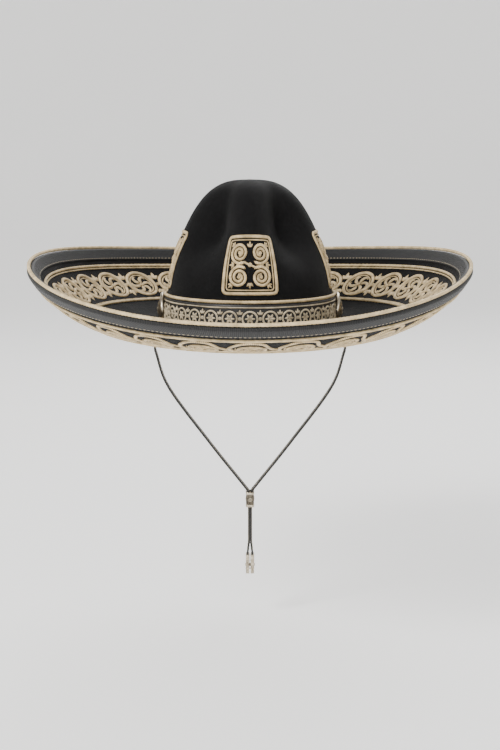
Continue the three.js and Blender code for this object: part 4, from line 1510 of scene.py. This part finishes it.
def strap_line():
    """The strap's route from the top of its eye to its end, as x and z, with a stop every 2 mm."""
    drop = RIVET_HEIGHT - slider_high[2]
    hang = curve_through([
        [STRAP_OUT, RIVET_HEIGHT - STRAP_WIDTH / 2 - 3 * MM], [STRAP_OUT * 0.86, RIVET_HEIGHT - drop * 0.3],
        [STRAP_OUT * 0.44, RIVET_HEIGHT - drop * 0.66], [STRAP_OUT * 0.1, RIVET_HEIGHT - drop * 0.93],
        [STRAP_IN, slider_high[2]]], 72)
    tail = curve_through([[STRAP_IN, slider_low[2] - SLIDE - FIT_GAP], [TIP_OUT, STRAP_END + 12 * MM],
                          [TIP_OUT, STRAP_END]], 16)
    line = np.concatenate([[[STRAP_OUT, RIVET_HEIGHT + STRAP_WIDTH / 2]], hang, tail])
    run = np.concatenate([[0], np.cumsum(np.linalg.norm(np.diff(line, axis=0), axis=1))])
    eye = STRAP_WIDTH / 2 * (1 - np.cos(np.linspace(0.1, QUARTER, 8)))
    stops = np.concatenate([eye, np.linspace(eye[-1], run[-1], int(run[-1] / (2 * MM)))[1:]])
    return stops, np.stack([np.interp(stops, run, line[:, 0]), np.interp(stops, run, line[:, 1])], axis=1)


strap_stops, strap_middle = strap_line()
strap_along = np.gradient(strap_middle, strap_stops, axis=0)
strap_along /= np.linalg.norm(strap_along, axis=1, keepdims=True)
strap_square = np.stack([-strap_along[:, 1], strap_along[:, 0]], axis=1)


def on_strap(run, aside, out):
    """A place on the strap: how far along it, across its width, and out from its middle."""
    x, z = [np.interp(run, strap_stops, strap_middle[:, axis]) +
            np.interp(run, strap_stops, strap_square[:, axis]) * out for axis in (0, 1)]
    return np.stack([x, aside, z], axis=-1)


print("strap", round(strap_stops[-1], 3), "m long")


# %% Strap leather and stitches
def strap_face(along, across):
    run = strap_stops[np.rint(along * (len(strap_stops) - 1)).astype(int)]
    to_end = np.clip(1 - run / (STRAP_WIDTH / 2), 0, 1)
    half = STRAP_WIDTH / 2 * np.sqrt(1 - to_end**2)
    return on_strap(run, (2 * across - 1) * half, np.zeros_like(run))


def strap_stitches():
    """Two rows of stitches on each face of the strap."""
    first, last = 9 * MM, strap_stops[-1] - 14 * MM
    count = int((last - first) / (3.6 * MM))
    runs = [first + (last - first) * k / count for k in range(count)]
    spots = [(run, row, face) for face in (-1, 1) for row in (-1, 1) for run in runs]

    def place(spot, flat):
        run, row, face = spot
        return on_strap(run + flat[:, 0], row * 4.5 * MM + flat[:, 1] * face, face * (STRAP / 2 + flat[:, 2]))

    return laid("strap_stitches", stitch_seed(2.5 * MM, 0.7 * MM), spots, place)


for side, hand in (("left", 1), ("right", -1)):
    strap_size = (strap_stops[-1], STRAP_WIDTH)
    strap = bent_grid("strap_leather_" + side, len(strap_stops) - 1, 8, strap_face, strap_size)
    add_modifier(strap, "SOLIDIFY", thickness=STRAP, offset=0.0)
    eased(strap, 0.5 * MM, degrees=60)
    mirrored(strap, hand)
    seat(strap, "chin_strap", "strap_leather", strap_leather, "chin_strap_" + side, angle=50)
    stitches = mirrored(strap_stitches(), hand)
    stitches.name = "strap_stitches_" + side
    seat(stitches, "chin_strap", "applique", sewing, angle=80)


# %% [markdown]
# ### Tips and slider
# Each tip is silver sheet folded over the strap's end, so it has a pocket, two collars and rivet heads.
# The slider is a flat tube with a rim at each end. A tube is a sheet bent round a box with round corners,
# which keeps its wall even where a carved block would not.


# %% The tips
def tip():
    """A folded tip: a block with a round end and a pocket in its top, two collars and rivet heads."""
    foot, top = tip_metal_low[2], tip_metal_high[2]
    thickness = tip_metal_high[0] - tip_metal_low[0]
    width = tip_metal_high[1] - tip_metal_low[1]
    body = rounded_plate("tip", thickness - 0.6 * MM, width - 0.8 * MM, foot, top, 0.7 * MM)
    collars = []
    for height, tall in ((top - 1.6 * MM, 2.4 * MM), (top - 6.2 * MM, 1.2 * MM)):
        collar = block("collar", (thickness, width, tall), height)
        add_modifier(collar, "BEVEL", width=0.45 * tall, segments=3, limit_method="NONE")
        collars.append(collar)
    pick(body)
    bpy.ops.object.mode_set(mode="EDIT")
    bpy.ops.mesh.select_mode(type="FACE")
    bpy.ops.mesh.select_all(action="DESELECT")
    bpy.ops.object.mode_set(mode="OBJECT")
    for face in body.data.polygons:
        face.select = face.normal[2] > 0.99 and face.center[2] > top - 1e-5
    bpy.ops.object.mode_set(mode="EDIT")
    bpy.ops.mesh.inset(thickness=0.35 * MM)
    bpy.ops.transform.translate(value=(0, 0, -3 * MM))
    bpy.ops.object.mode_set(mode="OBJECT")
    heads = []
    for out in (-1, 1):
        for up, radius in ((10.5, 2.3), (6.0, 1.2), (14.6, 1.0)):
            button = bead(radius * MM, (0, 0, 0), 0.45, 16)
            at = (out * (thickness / 2 - 0.35 * MM), 0, foot + up * MM)
            set_corners(button, laid_sideways(button) + at)
            heads.append(button)
    piece = joined("tip", [body, *collars, *heads])
    return moved(piece, (TIP_OUT, 0, 0))


for side, hand in (("left", 1), ("right", -1)):
    tipped = mirrored(tip(), hand)
    tipped.name = "tip_silver_" + side
    seat(tipped, "chin_strap", "silver", silver, "strap_tip_" + side, angle=45)


# %% The slider
def rounded_box(half_x, half_y, corner, count=6):
    """Points round a box with rounded corners, anticlockwise and closed on itself."""
    points = []
    for k, (sx, sy) in enumerate(((1, 1), (-1, 1), (-1, -1), (1, -1))):
        for angle in np.radians(np.linspace(90 * k, 90 * k + 90, count)):
            x = sx * (half_x - corner) + corner * math.cos(angle)
            y = sy * (half_y - corner) + corner * math.sin(angle)
            points.append((x, y))
    return np.array(points + points[:1])


def slider():
    """A flat tube with a rim at each end, a sunk field between them and a flower on each face."""
    half_x, half_y = slider_high[0], slider_high[1]
    tall = slider_high[2] - slider_low[2]
    loop = rounded_box(half_x, half_y, 2.2 * MM)
    outward = loop / np.linalg.norm(loop, axis=1, keepdims=True)
    levels = [(0.0, -0.35), (0.03, 0), (0.13, 0), (0.17, -0.3), (0.19, -0.75), (0.24, -0.75), (0.28, -0.45)]
    levels += [(1 - up, sunk) for up, sunk in reversed(levels)]

    def place(along, up):
        at = np.rint(along * (len(loop) - 1)).astype(int)
        level = np.array(levels)[np.rint(up * (len(levels) - 1)).astype(int)]
        flat = loop[at] + outward[at] * level[:, 1:2] * MM
        return np.stack([flat[:, 0], flat[:, 1], slider_low[2] + tall * level[:, 0]], axis=-1)

    tube = bent_grid("slider", len(loop) - 1, len(levels) - 1, place)
    weld(tube, outward=False)
    add_modifier(tube, "SOLIDIFY", thickness=1.5 * MM, offset=-1.0)
    dressed(tube, silver, dark_silver)
    darken(tube, lambda at: 0.18 * tall < at[2] - slider_low[2] < 0.82 * tall)
    pieces = [tube]
    middle = (slider_low[2] + slider_high[2]) / 2
    for angle, out, size in ((0, half_x, 1.0), (180, half_x, 1.0), (90, half_y, 0.8), (270, half_y, 0.8)):
        leans = [math.radians(60 * k) for k in range(6)]
        petals = [(0.95 * MM, 2.1 * MM * math.cos(lean), 2.1 * MM * math.sin(lean)) for lean in leans]
        for radius, aside, up in [*petals, (1.25 * MM, 0, 0)]:
            button = bead(radius * size, (0, 0, 0), 0.7, 10)
            local = laid_sideways(button) + (out - 0.45 * MM, aside * size, up * size)
            around = turned_about(local[:, :2], angle)
            set_corners(button, np.stack([around[:, 0], around[:, 1], local[:, 2] + middle], axis=1))
            pieces.append(dressed(button, silver))
    return joined("slider_tube", pieces)


tube = slider()
seat(tube, "slider", "silver", [silver, dark_silver], "strap_slider", angle=45)

# %% [markdown]
# ## Stage, light and camera
# The floor and the wall round it are one pale bowl with a wide bend between them, so no horizon shows.
# Large soft lights come from the upper left, from the right and from behind the crown, which draws a thin
# line of light on the black felt. A low wide lamp in front lights the brim's underside. It hangs clear of
# the floor, because a lamp that cuts the floor draws a hard line on it. The camera looks almost level at
# the hat, from just above the brim's edge.

# %% The stage
FLOOR = frame_low[2] - 0.05
STUDIO, BEND, WALL_TOP = 6.0, 2.5, 4.5
bend = [(STUDIO - BEND + BEND * math.sin(lean), FLOOR + BEND * (1 - math.cos(lean)))
        for lean in np.linspace(0, QUARTER, 20)]
sweep = turned("studio_sweep", [(0.0, FLOOR), (1.5, FLOOR), *bend, (STUDIO, FLOOR + WALL_TOP)], 96)
smooth(sweep, 60)
paper = new_finish("Pale paper", (0.86, 0.855, 0.845), 0.9, Emission_Strength=0.38)
paper.node_tree.nodes["Principled BSDF"].inputs["Emission Color"].default_value = (1, 0.995, 0.985, 1)
blend_to(paper, noise(paper, places(paper), 0.6, 2), (0.85, 0.845, 0.835), (0.87, 0.865, 0.855), "Base Color")
sweep.data.materials.append(paper)
print("floor at", round(FLOOR, 3), "m, bowl", 2 * STUDIO, "m across")


# %% Lights
def soft_light(name, place, width, height, power):
    bpy.ops.object.light_add(type="AREA", location=place)
    lamp = bpy.context.object
    lamp.name = name
    lamp.data.shape = "RECTANGLE"
    lamp.data.size = width
    lamp.data.size_y = height
    lamp.data.energy = power
    lamp.rotation_euler = (-Vector(place)).to_track_quat("-Z", "Y").to_euler()


soft_light("key", (-1.5, -1.7, 1.7), 1.0, 1.0, 92)
soft_light("fill", (2.0, -1.5, 0.9), 1.8, 1.8, 16)
soft_light("back", (0.5, 1.9, 1.9), 1.6, 1.6, 50)
soft_light("low_front", (0.0, -2.4, 0.2), 1.6, 0.5, 10)
world = bpy.data.worlds.new("Studio")
bpy.context.scene.world = world
world.use_nodes = True
world.node_tree.nodes["Background"].inputs["Color"].default_value = (1, 1, 1, 1)
world.node_tree.nodes["Background"].inputs["Strength"].default_value = 0.5

print("lamps", len(bpy.data.lights))

# %% The camera
VIEW_RISE = math.radians(8)
VIEW_DISTANCE = 1.98
lens = bpy.data.cameras.new("camera")
lens.lens = 85
camera = bpy.data.objects.new("camera", lens)
bpy.context.collection.objects.link(camera)
target = Vector((0, 0, (frame_low[2] + frame_high[2]) / 2 + 0.005))
camera.location = target + Vector((0, -math.cos(VIEW_RISE), math.sin(VIEW_RISE))) * VIEW_DISTANCE
camera.rotation_euler = (target - camera.location).to_track_quat("-Z", "Y").to_euler()
bpy.context.scene.camera = camera
print("camera", [round(value, 3) for value in camera.location])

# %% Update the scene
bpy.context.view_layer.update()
